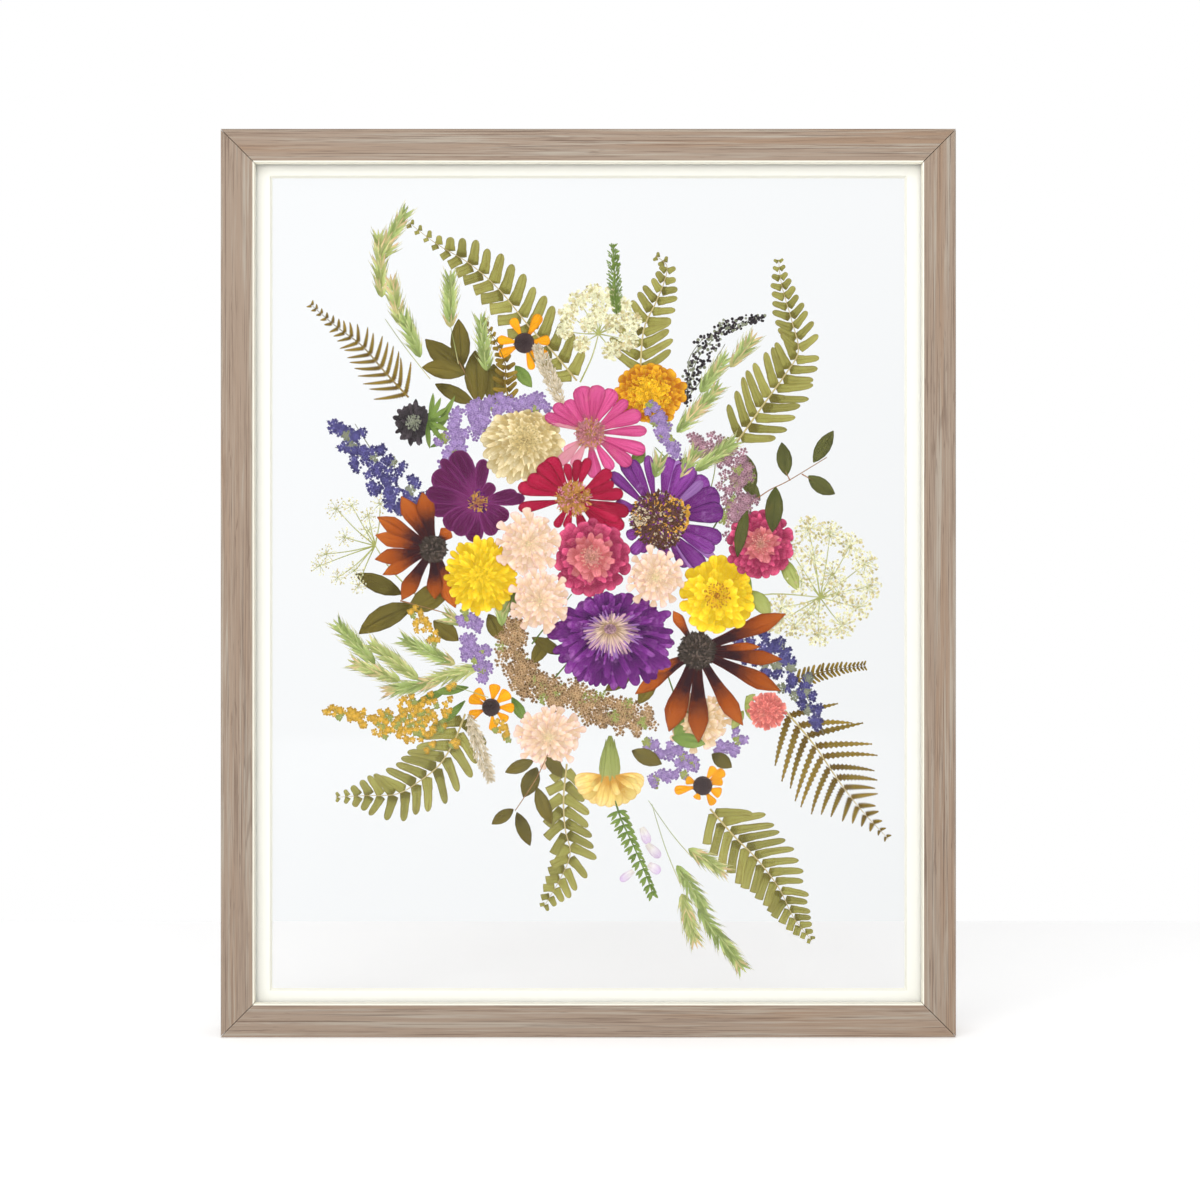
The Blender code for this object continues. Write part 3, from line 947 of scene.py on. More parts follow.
GREEN = PetalFinish("green_leaf", 0x607834, 0x748E42, 0x84984C, 0x485C28, 0.45, 5, 0.25, 0x8C823C, 0.35, 0.3, 0.4,
                    0.35)
OAT = PetalFinish("oat_husk", 0xA0AA62, 0xB4BE7A, 0xDED09C, 0x808A42, 0.5, 4, 0.3, 0xE0CC96, 0.5, 0.6, 0, 0.55)
OAT_GREEN = PetalFinish("oat_green", 0x90A05A, 0xA4B670, 0xCECC92, 0x6E7E40, 0.5, 4, 0.3, 0xD8C890, 0.4, 0.6, 0, 0.55)
OAT_PINK = PetalFinish("oat_straw", 0xBEB878, 0xD2C08C, 0xD6AE8C, 0x968250, 0.4, 4, 0.3, 0xDEC4A0, 0.4, 0.5, 0, 0.4)
LACE_STALK = PetalFinish("lace_stalk", 0xB0B46A, 0xC4C888, 0xCECE96, 0x969650, 0.2)
LACE_HEAD = PetalFinish("lace_head", 0xDEDAA0, 0xECEAC4, 0xF6F4DA, 0xBEB46E, 0.2, 5, 0.2, 0xC8B482, 0.3, 0.4, 0, 0.3)
LACE_DOT = PetalFinish("lace_dot", 0xBEB478, 0xCCC48C, 0xD6BE96, 0xA0825A, 0.3)
INDIGO = PetalFinish("indigo_petal", 0x423C68, 0x504C84, 0x6A669E, 0x2C245A, 0.5, 7, 0.4, 0x3C3C50, 0.4, 0.4, 0, 0.9)
SAGE = PetalFinish("sage_bud", 0x787C5C, 0x8E947A, 0x96988C, 0x5A5A42, 0.3)
SOOT = PetalFinish("soot_floret", 0x242022, 0x302A2C, 0x463E42, 0x121012, 0.4, 6, 0.3, 0x504A50, 0.4, 0.4, 0, 0.9)
GOLD = PetalFinish("goldenrod_bead", 0xC49024, 0xD6A636, 0xECC65A, 0xB0781E, 0.4, 6, 0.3, 0xBE963C, 0.5, 0.4, 0, 0.7)
LILAC = PetalFinish("lilac_paper", 0x86689E, 0x967AB2, 0xB098C6, 0x644A8C, 0.4, 7, 0.2, 0xC8B4DC, 0.4, 0.3, 0, 0.6)
CALYX = PetalFinish("green_calyx", 0x828A42, 0x98A256, 0xAAB068, 0x646A30, 0.5, 8, 0.3, 0xA08C50, 0.3, 0.3, 0, 0.3)
TAN = PetalFinish("tan_floret", 0x684C2E, 0xAC8A62, 0xD4B48A, 0x785032, 0.5, 6, 0.4, 0x968C50, 0.4, 0.4, 0, 0.75)
MAUVE = PetalFinish("mauve_floret", 0x78545C, 0xAC8090, 0xC6A0AA, 0x603846, 0.4, 6, 0.3, 0xB4AA6E, 0.5, 0.4, 0, 0.75)
MARIGOLD = PetalFinish("marigold_petal", 0xB4640A, 0xF0B824, 0xEEAA2C, 0xBE6414, 0.5, 8, 0.6, 0xB4641E, 0.5, 0.95, 0,
                       0.25)
MARIGOLD_HEART = PetalFinish("marigold_heart", 0xD69610, 0xF8D02C, 0xFCDE50, 0xE2A014, 0.5, 8, 0.4, 0xF0B428, 0.4,
                             0.95, 0, 0.45)
VIOLET = PetalFinish("violet_petal", 0x561E60, 0x742C7C, 0x843E92, 0x461450, 0.6, 8, 0.55, 0xB07ABA, 0.5, 0.3, 0, 0.35)
VIOLET_FOLD = PetalFinish("violet_fold", 0x784688, 0x9A6CAC, 0xA474B8, 0x60286E, 0.5, 8, 0.3, 0x783C8C, 0.5, 0.3, 0,
                          0.3)
CONE = PetalFinish("cone_brown", 0x603E20, 0x543824, 0x6E4654, 0x321E14, 0.5, 6, 0.3, 0x3C2418, 0.4, 0.4, 0, 0.7)
CONE_GOLD = PetalFinish("cone_gold", 0xC88C28, 0xD89E32, 0xE8BA5A, 0x8C5A1E, 0.4, 6, 0.3, 0x785028, 0.5, 0.4, 0, 0.5)
CONE_CREAM = PetalFinish("cone_cream", 0xAA9270, 0xCEBE9C, 0xDED0B2, 0x96785A, 0.4, 6, 0.3, 0x8C646E, 0.5, 0.4, 0, 0.4)
ORANGE = PetalFinish("orange_petal", 0xD6780A, 0xF6A60E, 0xF8AC14, 0xCE6E0A, 0.55, 7, 0.4, 0xD6780A, 0.5, 0.25, 0,
                     0.25)
BLACK_CONE = PetalFinish("black_cone", 0x342628, 0x403234, 0x544240, 0x1E1418, 0.3, 6, 0.2, 0x3C3232, 0.3, 0.4, 0, 0.5)
GREY_CONE = PetalFinish("grey_cone", 0x2C2622, 0x3A332C, 0x4E443C, 0x302624, 0.3, 6, 0.2, 0x644C3C, 0.5, 0.4, 0, 0.8)
CONE_SPECK = PetalFinish("cone_speck", 0x786864, 0x62544C, 0x706256, 0x5A4646, 0.35, 9, 0.3, 0x785028, 0.25, 0.35, 0,
                         0.45)
PEACH = PetalFinish("peach_petal", 0xDCB886, 0xF2DABA, 0xF4D0C2, 0xCE9E78, 0.45, 7, 0.35, 0xC8A06E, 0.4, 0.9, 0, 0.25)
RUSSET = PetalFinish("russet_petal", 0x2E161C, 0xA85016, 0xBC6222, 0x60220A, 0.5, 7, 0.35, 0x501E10, 0.4, 0.62, 0,
                     0.25)
ASTER = PetalFinish("aster_petal", 0x380E42, 0x782E84, 0x94509E, 0x4E185A, 0.6, 9, 0.5, 0xAA6EB0, 0.5, 0.9, 0, 0.4)
ASTER_HEART = PetalFinish("aster_heart", 0xB4966E, 0xD6BAA0, 0xE2C8BE, 0x966482, 0.5, 8, 0.4, 0xAA7896, 0.5, 0.4, 0,
                          0.4)
PLUM = PetalFinish("plum_petal", 0x782C64, 0x581646, 0x52143E, 0x8C3C7C, 0.45, 8, 0.35, 0x782860, 0.4, 0.4, 0, 0.3)
CREAM = PetalFinish("cream_scale", 0xBEA46A, 0xF0E2B8, 0xF6EAC2, 0xC8AC70, 0.5, 8, 0.6, 0xD6BE82, 0.4, 0.95, 0, 0.4)
CREAM_HEART = PetalFinish("cream_heart", 0xAA8C50, 0xCEB87C, 0xE4D096, 0x6E5428, 0.6, 8, 0.5, 0x967846, 0.5, 0.3, 0,
                          0.4)
PINK = PetalFinish("hot_pink_petal", 0xB0546E, 0xCE4C82, 0xDA5A94, 0x9C1E54, 0.55, 9, 0.5, 0xCE7882, 0.4, 0.3, 0, 0.25)
PINK_PALE = PetalFinish("pale_pink_petal", 0xC4827C, 0xDA969E, 0xDE8CA4, 0xB4606E, 0.4, 9, 0.3, 0xCEA082, 0.4, 0.3, 0,
                        0.25)
PINK_HEART = PetalFinish("pink_heart", 0xAA7854, 0xBE707C, 0xD896A0, 0x824C3C, 0.5, 8, 0.4, 0xAA8C46, 0.6, 0.4, 0, 0.5)
YELLOW = PetalFinish("yellow_ruffle", 0xE8BC14, 0xFCE034, 0xFCE454, 0xCE9614, 0.55, 8, 0.6, 0xDCAA14, 0.45, 0.95, 0,
                     0.35)
YELLOW_HEART = PetalFinish("yellow_heart", 0xAA6210, 0xCE8A18, 0xECBA3C, 0x965A14, 0.6, 8, 0.5, 0xAA6E14, 0.5, 0.35,
                           0, 0.4)
CRIMSON = PetalFinish("crimson_petal", 0x8C2832, 0xA00E34, 0xAC163E, 0x68041A, 0.6, 8, 0.55, 0xD63C5A, 0.4, 0.3, 0,
                      0.35)
CRIMSON_HEART = PetalFinish("crimson_heart", 0x96543C, 0xBE8246, 0xDEB050, 0x6E3228, 0.5, 8, 0.4, 0xA05A5A, 0.6, 0.4,
                            0, 0.5)
ROSE = PetalFinish("rose_scale", 0x962C4C, 0xE25882, 0xE8648E, 0x96244C, 0.5, 8, 0.6, 0xC8646E, 0.4, 0.97, 0, 0.4)
SALMON = PetalFinish("salmon_scale", 0xBA5C5C, 0xE2888E, 0xE06E7C, 0xAA4654, 0.5, 8, 0.6, 0xD29678, 0.4, 0.95, 0, 0.4)
ROSE_HEART = PetalFinish("rose_heart", 0xBA8264, 0xD48A86, 0xE4AA96, 0x8C5046, 0.5, 8, 0.5, 0xD2B478, 0.5, 0.4, 0, 0.4)
BLUSH = PetalFinish("blush_quill", 0xECC8A0, 0xFADECC, 0xFCD8D0, 0xE2AC9C, 0.45, 6, 0.55, 0xECCEAA, 0.4, 0.9, 0, 0.3)
BLUSH_HEART = PetalFinish("blush_heart", 0xECD6A0, 0xF0D8AC, 0xF6D6BA, 0xCEA06E, 0.5, 6, 0.4, 0xDEBE78, 0.5, 0.35, 0,
                          0.3)
CORAL = PetalFinish("coral_bristle", 0xCE645C, 0xF08E82, 0xF4AC96, 0xD66E6E, 0.4, 6, 0.3, 0xF0B496, 0.4, 0.9, 0, 0.35)
BUTTER = PetalFinish("butter_ruffle", 0xCE963C, 0xF4D67A, 0xF6DE96, 0xD6A046, 0.5, 8, 0.45, 0xDCAA50, 0.4, 0.7, 0,
                     0.25)
FUR = PetalFinish("cream_fur", 0xC4B088, 0xDCCEB0, 0xEADCC4, 0x968260, 0.4, 6, 0.3, 0xAA966E, 0.5, 0.4, 0, 0.35)
BELL = PetalFinish("pale_bell", 0xE6E0D6, 0xEEE8EA, 0xD8BEE2, 0xB496B4, 0.4, 6, 0.3, 0xC8AAD2, 0.4, 0.4, 0, 0.2)
OATS = (OAT, OAT_GREEN, OAT_PINK)
LACE = (LACE_STALK, LACE_HEAD, LACE_DOT)
SUSAN = (ORANGE, BLACK_CONE, GREY_CONE)


# ----------------------------------------------------------------- specimens


@dataclass(frozen=True)
class Specimen:
    """A dried specimen that stands for a CAD node, or one that lies near a node without one of its own."""

    name: str
    coats: tuple[Finish, ...]
    near: Optional[str] = None
    step: float = 0.0

    def build(self) -> bpy.types.Object:
        """Lay the specimen in its layer.

        Returns:
            The piece.
        """
        low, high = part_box(self.near or self.name)
        spray = Spray(self.name, self.coats, high.y - self.step * MM)
        self.lay(spray)
        return spray.finish(*(() if self.near else (self.name,)))

    def lay(self, spray: Spray) -> None:
        """Fill the spray."""
        raise NotImplementedError

    def home(self) -> tuple[Spot, float, float]:
        """The middle, half width and half height of the node, in millimetres."""
        low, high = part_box(self.near or self.name)
        middle = ((low.x + high.x) / 2 / MM, (low.z + high.z) / 2 / MM)
        return middle, (high.x - low.x) / 2 / MM, (high.z - low.z) / 2 / MM


@dataclass(frozen=True)
class Whorl:
    """One ring of petals in a rosette, by shares of the flower's own size."""

    count: int
    root: float
    tip: float
    width: float
    shape: Shape = Shape.SCALE
    coat: int = 0
    lift: float = 0.3
    wild: float = 0.12


@dataclass(frozen=True)
class Rosette(Specimen):
    """A flower seen from above, built of whorls from the outside in, with a heart of grains."""

    whorls: tuple[Whorl, ...] = ()
    heart: float = 0.15
    heart_coat: int = 1
    grains: int = 60
    grain: float = 1.1
    centre: Optional[Spot] = None

    def lay(self, spray: Spray) -> None:
        """Lay the whorls and the heart.

        Args:
            spray: the spray to fill.
        """
        middle, wide, high = self.home()
        eye = self.centre or middle
        pick = spray.chance
        spray.add(Shape.DOME, middle, 0, wide * 1.5, high * 1.5, 0, lift=0.16, thick=0.08, shade=0.3)
        for ring in self.whorls:
            offset = pick.uniform(0, math.tau)
            for petal in range(ring.count):
                turn = offset + math.tau * (petal + pick.uniform(-0.3, 0.3)) / ring.count
                tip = ring.tip * (1 + pick.uniform(-ring.wild, ring.wild * 0.3))
                own = tuple(e + (m - e) * ring.tip for e, m in zip(eye, middle))
                root = polar(eye, turn, wide * ring.root, high * ring.root)
                way, length = aim(root, polar(own, turn, wide * tip, high * tip))
                spray.add(ring.shape, root, way + pick.uniform(-7, 7), length,
                          ring.width * wide * pick.uniform(0.8, 1.15), ring.coat, lift=ring.lift + 0.2, rise=-0.2,
                          arch=0.1, cup=0.14 + pick.uniform(0, 0.14), bow=pick.uniform(-0.3, 0.3), thick=PETAL_THICK)
        self.fill(spray, eye, wide * self.heart, high * self.heart)

    def fill(self, spray: Spray, eye: Spot, wide: float, high: float) -> None:
        """Fill the heart with grains in a sunflower spiral.

        Args:
            spray: the spray to fill.
            eye: the heart's middle.
            wide: its half width.
            high: its half height.
        """
        pick = spray.chance
        spray.add(Shape.DOME, eye, 0, wide * 1.9, high * 1.9, self.heart_coat, lift=0.45, thick=0.14, shade=0.3)
        for reach, turn in spiral(pick, self.grains, 0.2):
            spray.add(Shape.GRAIN, polar(eye, turn, wide * reach, high * reach), pick.uniform(0, 180),
                      self.grain * pick.uniform(0.7, 1.5), self.grain * pick.uniform(0.5, 1.0), self.heart_coat,
                      lift=0.75 - 0.2 * reach, thick=0.25 * self.grain)


@dataclass(frozen=True)
class Ray:
    """One petal by its tip from the hub, in millimetres, and its width."""

    dx: float
    dz: float
    width: float
    coat: int = 0
    shape: Shape = Shape.STRAP


@dataclass(frozen=True)
class RayFlower(Specimen):
    """A flower whose petals each have their own place round a hub."""

    hub: Spot = (0.0, 0.0)
    rays: tuple[Ray, ...] = ()
    eye: float = 8.0
    root: float = 4.0
    grains: int = 90
    grain: float = 1.0
    heart_coats: tuple[int, ...] = (1,)
    dome: float = 0.0
    halos: tuple[tuple[float, float, float, int, int], ...] = ()
    plump: float = 0.86

    def lay(self, spray: Spray) -> None:
        """Lay the petals, then the dome or the stamens.

        Args:
            spray: the spray to fill.
        """
        pick = spray.chance
        x, z = self.hub
        for index, ray in enumerate(self.rays):
            way, reach = aim((0.0, 0.0), (ray.dx, ray.dz))
            base = (x + ray.dx / reach * self.root, z + ray.dz / reach * self.root)
            spray.add(ray.shape, base, way, reach - self.root, ray.width * self.plump, ray.coat,
                      lift=0.24 + 0.16 * (index % 3), arch=0.14, cup=0.14, bow=pick.uniform(-0.12, 0.12),
                      thick=PETAL_THICK)
        size = (self.dome or self.eye * 0.9) * 2
        spray.add(Shape.DOME, self.hub, 0, size, size, self.heart_coats[0], lift=0.5, thick=0.7 if self.dome else 0.12,
                  shade=0.35)
        for dx, dz, radius, count, coat in self.halos:
            for index in range(count):
                turn = math.tau * index / count
                spot = polar((x + dx, z + dz), turn, radius * pick.uniform(0.82, 1.12))
                spray.add(Shape.GRAIN, spot, math.degrees(turn), self.grain * pick.uniform(0.8, 1.8),
                          self.grain * 0.8, coat, lift=0.95, thick=0.2)
        for reach, turn in spiral(pick, self.grains, 0.2):
            rise = 0.75 * math.sqrt(max(1 - reach ** 2, 0)) if self.dome else 0.2 * (1 - reach)
            spray.add(Shape.GRAIN, polar(self.hub, turn, (self.dome or self.eye) * reach),
                      math.degrees(turn) + pick.uniform(-50, 50), self.grain * pick.uniform(0.7, 1.9),
                      self.grain * pick.uniform(0.4, 0.9), pick.choice(self.heart_coats),
                      lift=(0.5 if self.dome else 0.72) + rise, thick=0.22 * self.grain)


@dataclass(frozen=True)
class Fern(Specimen):
    """A frond: leaflets in pairs along a rachis, tip first."""

    spine: tuple[Spot, ...] = ()
    widths: tuple[float, ...] = ()
    pairs: int = 12
    lean: float = 62.0
    fill: float = 0.8
    left: Shape = Shape.PINNA
    right: Shape = Shape.PINNA
    trim: float = 1.0

    def lay(self, spray: Spray) -> None:
        """Lay the rachis and its leaflets.

        Args:
            spray: the spray to fill.
        """
        pick = spray.chance
        line = np.array(curve(self.spine, 12))
        lengths = np.concatenate([[0], np.cumsum(np.linalg.norm(np.diff(line, axis=0), axis=1))])
        total = lengths[-1]
        spray.stem(self.spine, 0.25, 1.2, 1, 0.3)
        shares = [((index + 0.5) / self.pairs) ** 1.15 for index in range(self.pairs)]
        places = np.linspace(0, 1, len(self.widths))
        for index, share in enumerate(shares):
            near = [max(share * total - 1.5, 0), share * total, min(share * total + 1.5, total)]
            ahead, spot, behind = zip(*(np.interp(near, lengths, line[:, axis]) for axis in (0, 1)))
            way, _ = aim(behind, ahead)
            reach = float(np.interp(share, places, self.widths))
            pitch = total * (shares[min(index + 1, self.pairs - 1)] - shares[max(index - 1, 0)]) / 2
            if index in (0, self.pairs - 1):
                pitch *= 2
            for side, shape in ((1, self.left), (-1, self.right)):
                length = max(reach * pick.uniform(0.92, 1.05) * (self.trim if shape is Shape.CLIPPED else 1.0), 3.0)
                angle = way + side * (self.lean + pick.uniform(-4, 4))
                width = min(pitch * self.fill, length * 0.8) * pick.uniform(0.92, 1.05)
                spray.add(shape, polar(spot, math.radians(angle), 0.4), angle, length, width, 0,
                          lift=0.16 + 0.05 * (index % 2), arch=0.05, cup=0.06, bow=-side * pick.uniform(0.05, 0.3),
                          thick=0.04)


@dataclass(frozen=True)
class Grass(Specimen):
    """Flattened oat spikelets: husks in a herringbone along each chain, tip first."""

    chains: tuple[tuple[Spot, Spot, int], ...] = ()
    husk: float = 11.0
    pitch: float = 2.7
    stems: tuple[tuple[Spot, ...], ...] = ()

    def lay(self, spray: Spray) -> None:
        """Lay the stems and the chains.

        Args:
            spray: the spray to fill.
        """
        pick = spray.chance
        for path in self.stems:
            spray.stem(path, 0.35, 0.55, 0, 0.2)
        for tip, base, coat in self.chains:
            run = (tip[0] - base[0], tip[1] - base[1])
            way, length = aim(base, tip)
            count = max(int((length - self.husk * 0.5) / self.pitch), 2)
            spray.stem((base, tip), 0.5, 0.3, 0, 0.25, False)
            for index in range(count + 1):
                share = index / count
                spot = tuple(b + r * share * (1 - self.husk * 0.6 / length) for b, r in zip(base, run))
                size = self.husk * (1.0 - 0.35 * abs(share - 0.35))
                own = min(coat, 1) if pick.random() < 0.85 else 2
                for side in (1, -1):
                    angle = way + side * (33 + pick.uniform(-5, 5))
                    bow = -side * pick.uniform(0.2, 0.5)
                    spray.add(Shape.GLUME, spot, angle, size, 1.9, own, lift=0.25 + 0.3 * pick.random(), rise=0.1,
                              cup=0.16, bow=bow, thick=PETAL_THICK)
                    spray.add(Shape.LANCE, spot, angle + side * 3, size * 1.28, 0.45, 0, lift=0.2, bow=bow,
                              thick=PETAL_THICK)
                spray.add(Shape.GLUME, spot, way + pick.uniform(-9, 9), size * 0.9, 1.7, own, lift=0.6,
                          cup=0.1, thick=PETAL_THICK)


@dataclass(frozen=True)
class Cluster(Specimen):
    """Florets and beads strewn along a band, as in statice, sedum, goldenrod, delphinium and umbels."""

    band: tuple[tuple[float, float, float], ...] = ()
    count: int = 90
    size: float = 3.0
    shape: Shape = Shape.FLORET
    mix: tuple[int, ...] = (0,)
    stems: tuple[tuple[Spot, ...], ...] = ()
    stem_coat: int = 1
    thick: float = 0.25
    strewn: bool = False
    clump: float = 0.0

    def lay(self, spray: Spray) -> None:
        """Lay the stems and strew the florets.

        Args:
            spray: the spray to fill.
        """
        pick = spray.chance
        for path in self.stems:
            spray.stem(path, 0.7, 0.4, self.stem_coat, 0.15)
        band = np.array(self.band, dtype=float)
        places = np.linspace(0, 1, len(band))
        weight = band[:, 2] + 0.5
        mass = np.concatenate([[0], np.cumsum((weight[1:] + weight[:-1]) / 2)]) if len(band) > 1 else np.array([0, 1])
        per = CLUMP_FLORETS if self.clump else 1
        for index in range(self.count // per):
            if self.strewn:
                x, z, reach = band[index % len(band)]
            else:
                share = float(np.interp((index + pick.random()) / (self.count / per) * mass[-1], mass, places))
                x, z, reach = (float(np.interp(share, places, band[:, axis])) for axis in range(3))
            middle = polar((x, z), pick.uniform(0, math.tau), reach * math.sqrt(pick.random()))
            height, coat, tone = pick.uniform(0, 0.4), pick.choice(self.mix), pick.uniform(-0.15, 0.15)
            for share, turn in spiral(pick, per, 0.3, 0.3):
                spot = polar(middle, turn, self.clump * share)
                size = self.size * pick.uniform(0.7, 1.25)
                # Florets darken towards the edge of their clump: painted shade between the clumps.
                shade = 0.85 - 0.75 * share + tone if self.clump else None
                spray.add(self.shape, spot, pick.uniform(0, 360), size, size, coat,
                          lift=0.2 + height + (0.25 * (1 - share) if self.clump else 0),
                          thick=self.thick * pick.uniform(0.7, 1.2), shade=shade)


@dataclass(frozen=True)
class Leaf:
    """One leaf by its root, tip and width, in millimetres."""

    root: Spot
    tip: Spot
    width: float
    coat: int = 0
    shape: Shape = Shape.OVAL
    bow: float = 0.0


@dataclass(frozen=True)
class Sprig(Specimen):
    """Leaves that each have their own place, with their stems."""

    leaves: tuple[Leaf, ...] = ()
    stems: tuple[tuple[Spot, ...], ...] = ()
    stem_coat: int = 1
    stem: float = 0.9

    def lay(self, spray: Spray) -> None:
        """Lay the stems and the leaves.

        Args:
            spray: the spray to fill.
        """
        for path in self.stems:
            spray.stem(path, self.stem, self.stem * 0.6, self.stem_coat, 0.3)
        for index, leaf in enumerate(self.leaves):
            way, length = aim(leaf.root, leaf.tip)
            spray.add(leaf.shape, leaf.root, way - math.degrees(leaf.bow) / 2, length, leaf.width, leaf.coat,
                      lift=0.16 + 0.11 * (index % 4), arch=0.05, cup=0.06, bow=leaf.bow, thick=PETAL_THICK)


@dataclass(frozen=True)
class Umbel(Specimen):
    """A lace flower: fine rays from a hub to small heads of tiny florets."""

    hub: Spot = (0.0, 0.0)
    heads: tuple[tuple[float, float, float], ...] = ()
    florets: int = 30
    size: float = 1.1
    stalk: tuple[Spot, ...] = ()

    def lay(self, spray: Spray) -> None:
        """Lay the rays, the small heads and their florets.

        Args:
            spray: the spray to fill.
        """
        pick = spray.chance
        if self.stalk:
            spray.stem(self.stalk, 1.0, 0.7, 0, 0.15)
        for x, z, reach in self.heads:
            middle = ((self.hub[0] + x) / 2 + pick.uniform(-1, 1), (self.hub[1] + z) / 2 + pick.uniform(-1, 1))
            spray.stem((self.hub, middle, (x, z)), 0.85, 0.5, 0, 0.2)
            for index, (share, turn) in enumerate(spiral(pick, self.florets, 0.3)):
                spot = polar((x, z), turn, reach * share)
                if index % 3 == 0:
                    spray.stem(((x, z), spot), 0.34, 0.22, 0, 0.2, False)
                spray.add(Shape.FLORET, spot, pick.uniform(0, 72), self.size * pick.uniform(0.7, 1.3),
                          self.size * pick.uniform(0.7, 1.3), pick.choice((1, 1, 2)), lift=0.3 + pick.uniform(0, 0.15),
                          thick=PETAL_THICK)


@dataclass(frozen=True)
class Tail(Specimen):
    """A furry spike of bristles along a short stem, tip last."""

    path: tuple[Spot, Spot] = ((0.0, 0.0), (0.0, 1.0))
    reach: float = 5.0
    bristles: int = 420
    length: float = 4.0
    lean: float = 35.0

    def lay(self, spray: Spray) -> None:
        """Lay the core and the bristles.

        Args:
            spray: the spray to fill.
        """
        pick = spray.chance
        (x0, z0), (x1, z1) = self.path
        spray.stem(self.path, 1.2, 0.6, 0, 0.2, False)
        way, _ = aim(*self.path)
        for _ in range(self.bristles):
            share = pick.random()
            swell = math.sin(math.pi * min(max(share, 0.05), 0.95)) ** 0.5
            side = pick.uniform(-1, 1)
            core = (x0 + (x1 - x0) * share, z0 + (z1 - z0) * share)
            spray.add(Shape.QUILL, polar(core, math.radians(way + 90), side * self.reach * swell * 0.45),
                      way + side * self.lean + pick.uniform(-15, 15),
                      self.length * pick.uniform(0.6, 1.2) * (0.5 + swell / 2), 0.75, 0,
                      lift=0.2 + pick.uniform(0, 0.5), thick=PETAL_THICK)


def doubled(outer: int, rings: int, width: float, shape: Shape = Shape.SCALE, heart: float = 0.2,
            inner: Optional[int] = None, wild: float = 0.12) -> tuple[Whorl, ...]:
    """Whorls of a full flower, from its rim to its heart.

    Args:
        outer: petals in the outermost whorl.
        rings: how many whorls there are.
        width: a petal's width as a share of the flower's half width.
        shape: the petals' shape.
        heart: where the innermost whorl ends.
        inner: the finish of the inner half, if it differs.
        wild: how unequal the petals are.

    Returns:
        The whorls.
    """
    whorls = []
    for ring in range(rings):
        share = ring / rings
        tip = 1.0 - share * (1.0 - heart)
        coat = inner if inner is not None and share > 0.5 else 0
        whorls.append(Whorl(max(int(outer * tip), 5), max(tip - 0.34, 0.04), tip, width * (0.75 + 0.25 * tip), shape,
                            coat, 0.12 + 0.55 * share, wild))
    return tuple(whorls)


def fan(*rays: tuple, coat: int = 0, shape: Shape = Shape.STRAP) -> tuple[Ray, ...]:
    """Petals of one kind from (across, up, width) triples."""
    return tuple(Ray(dx, dz, width, coat, shape) for dx, dz, width in rays)


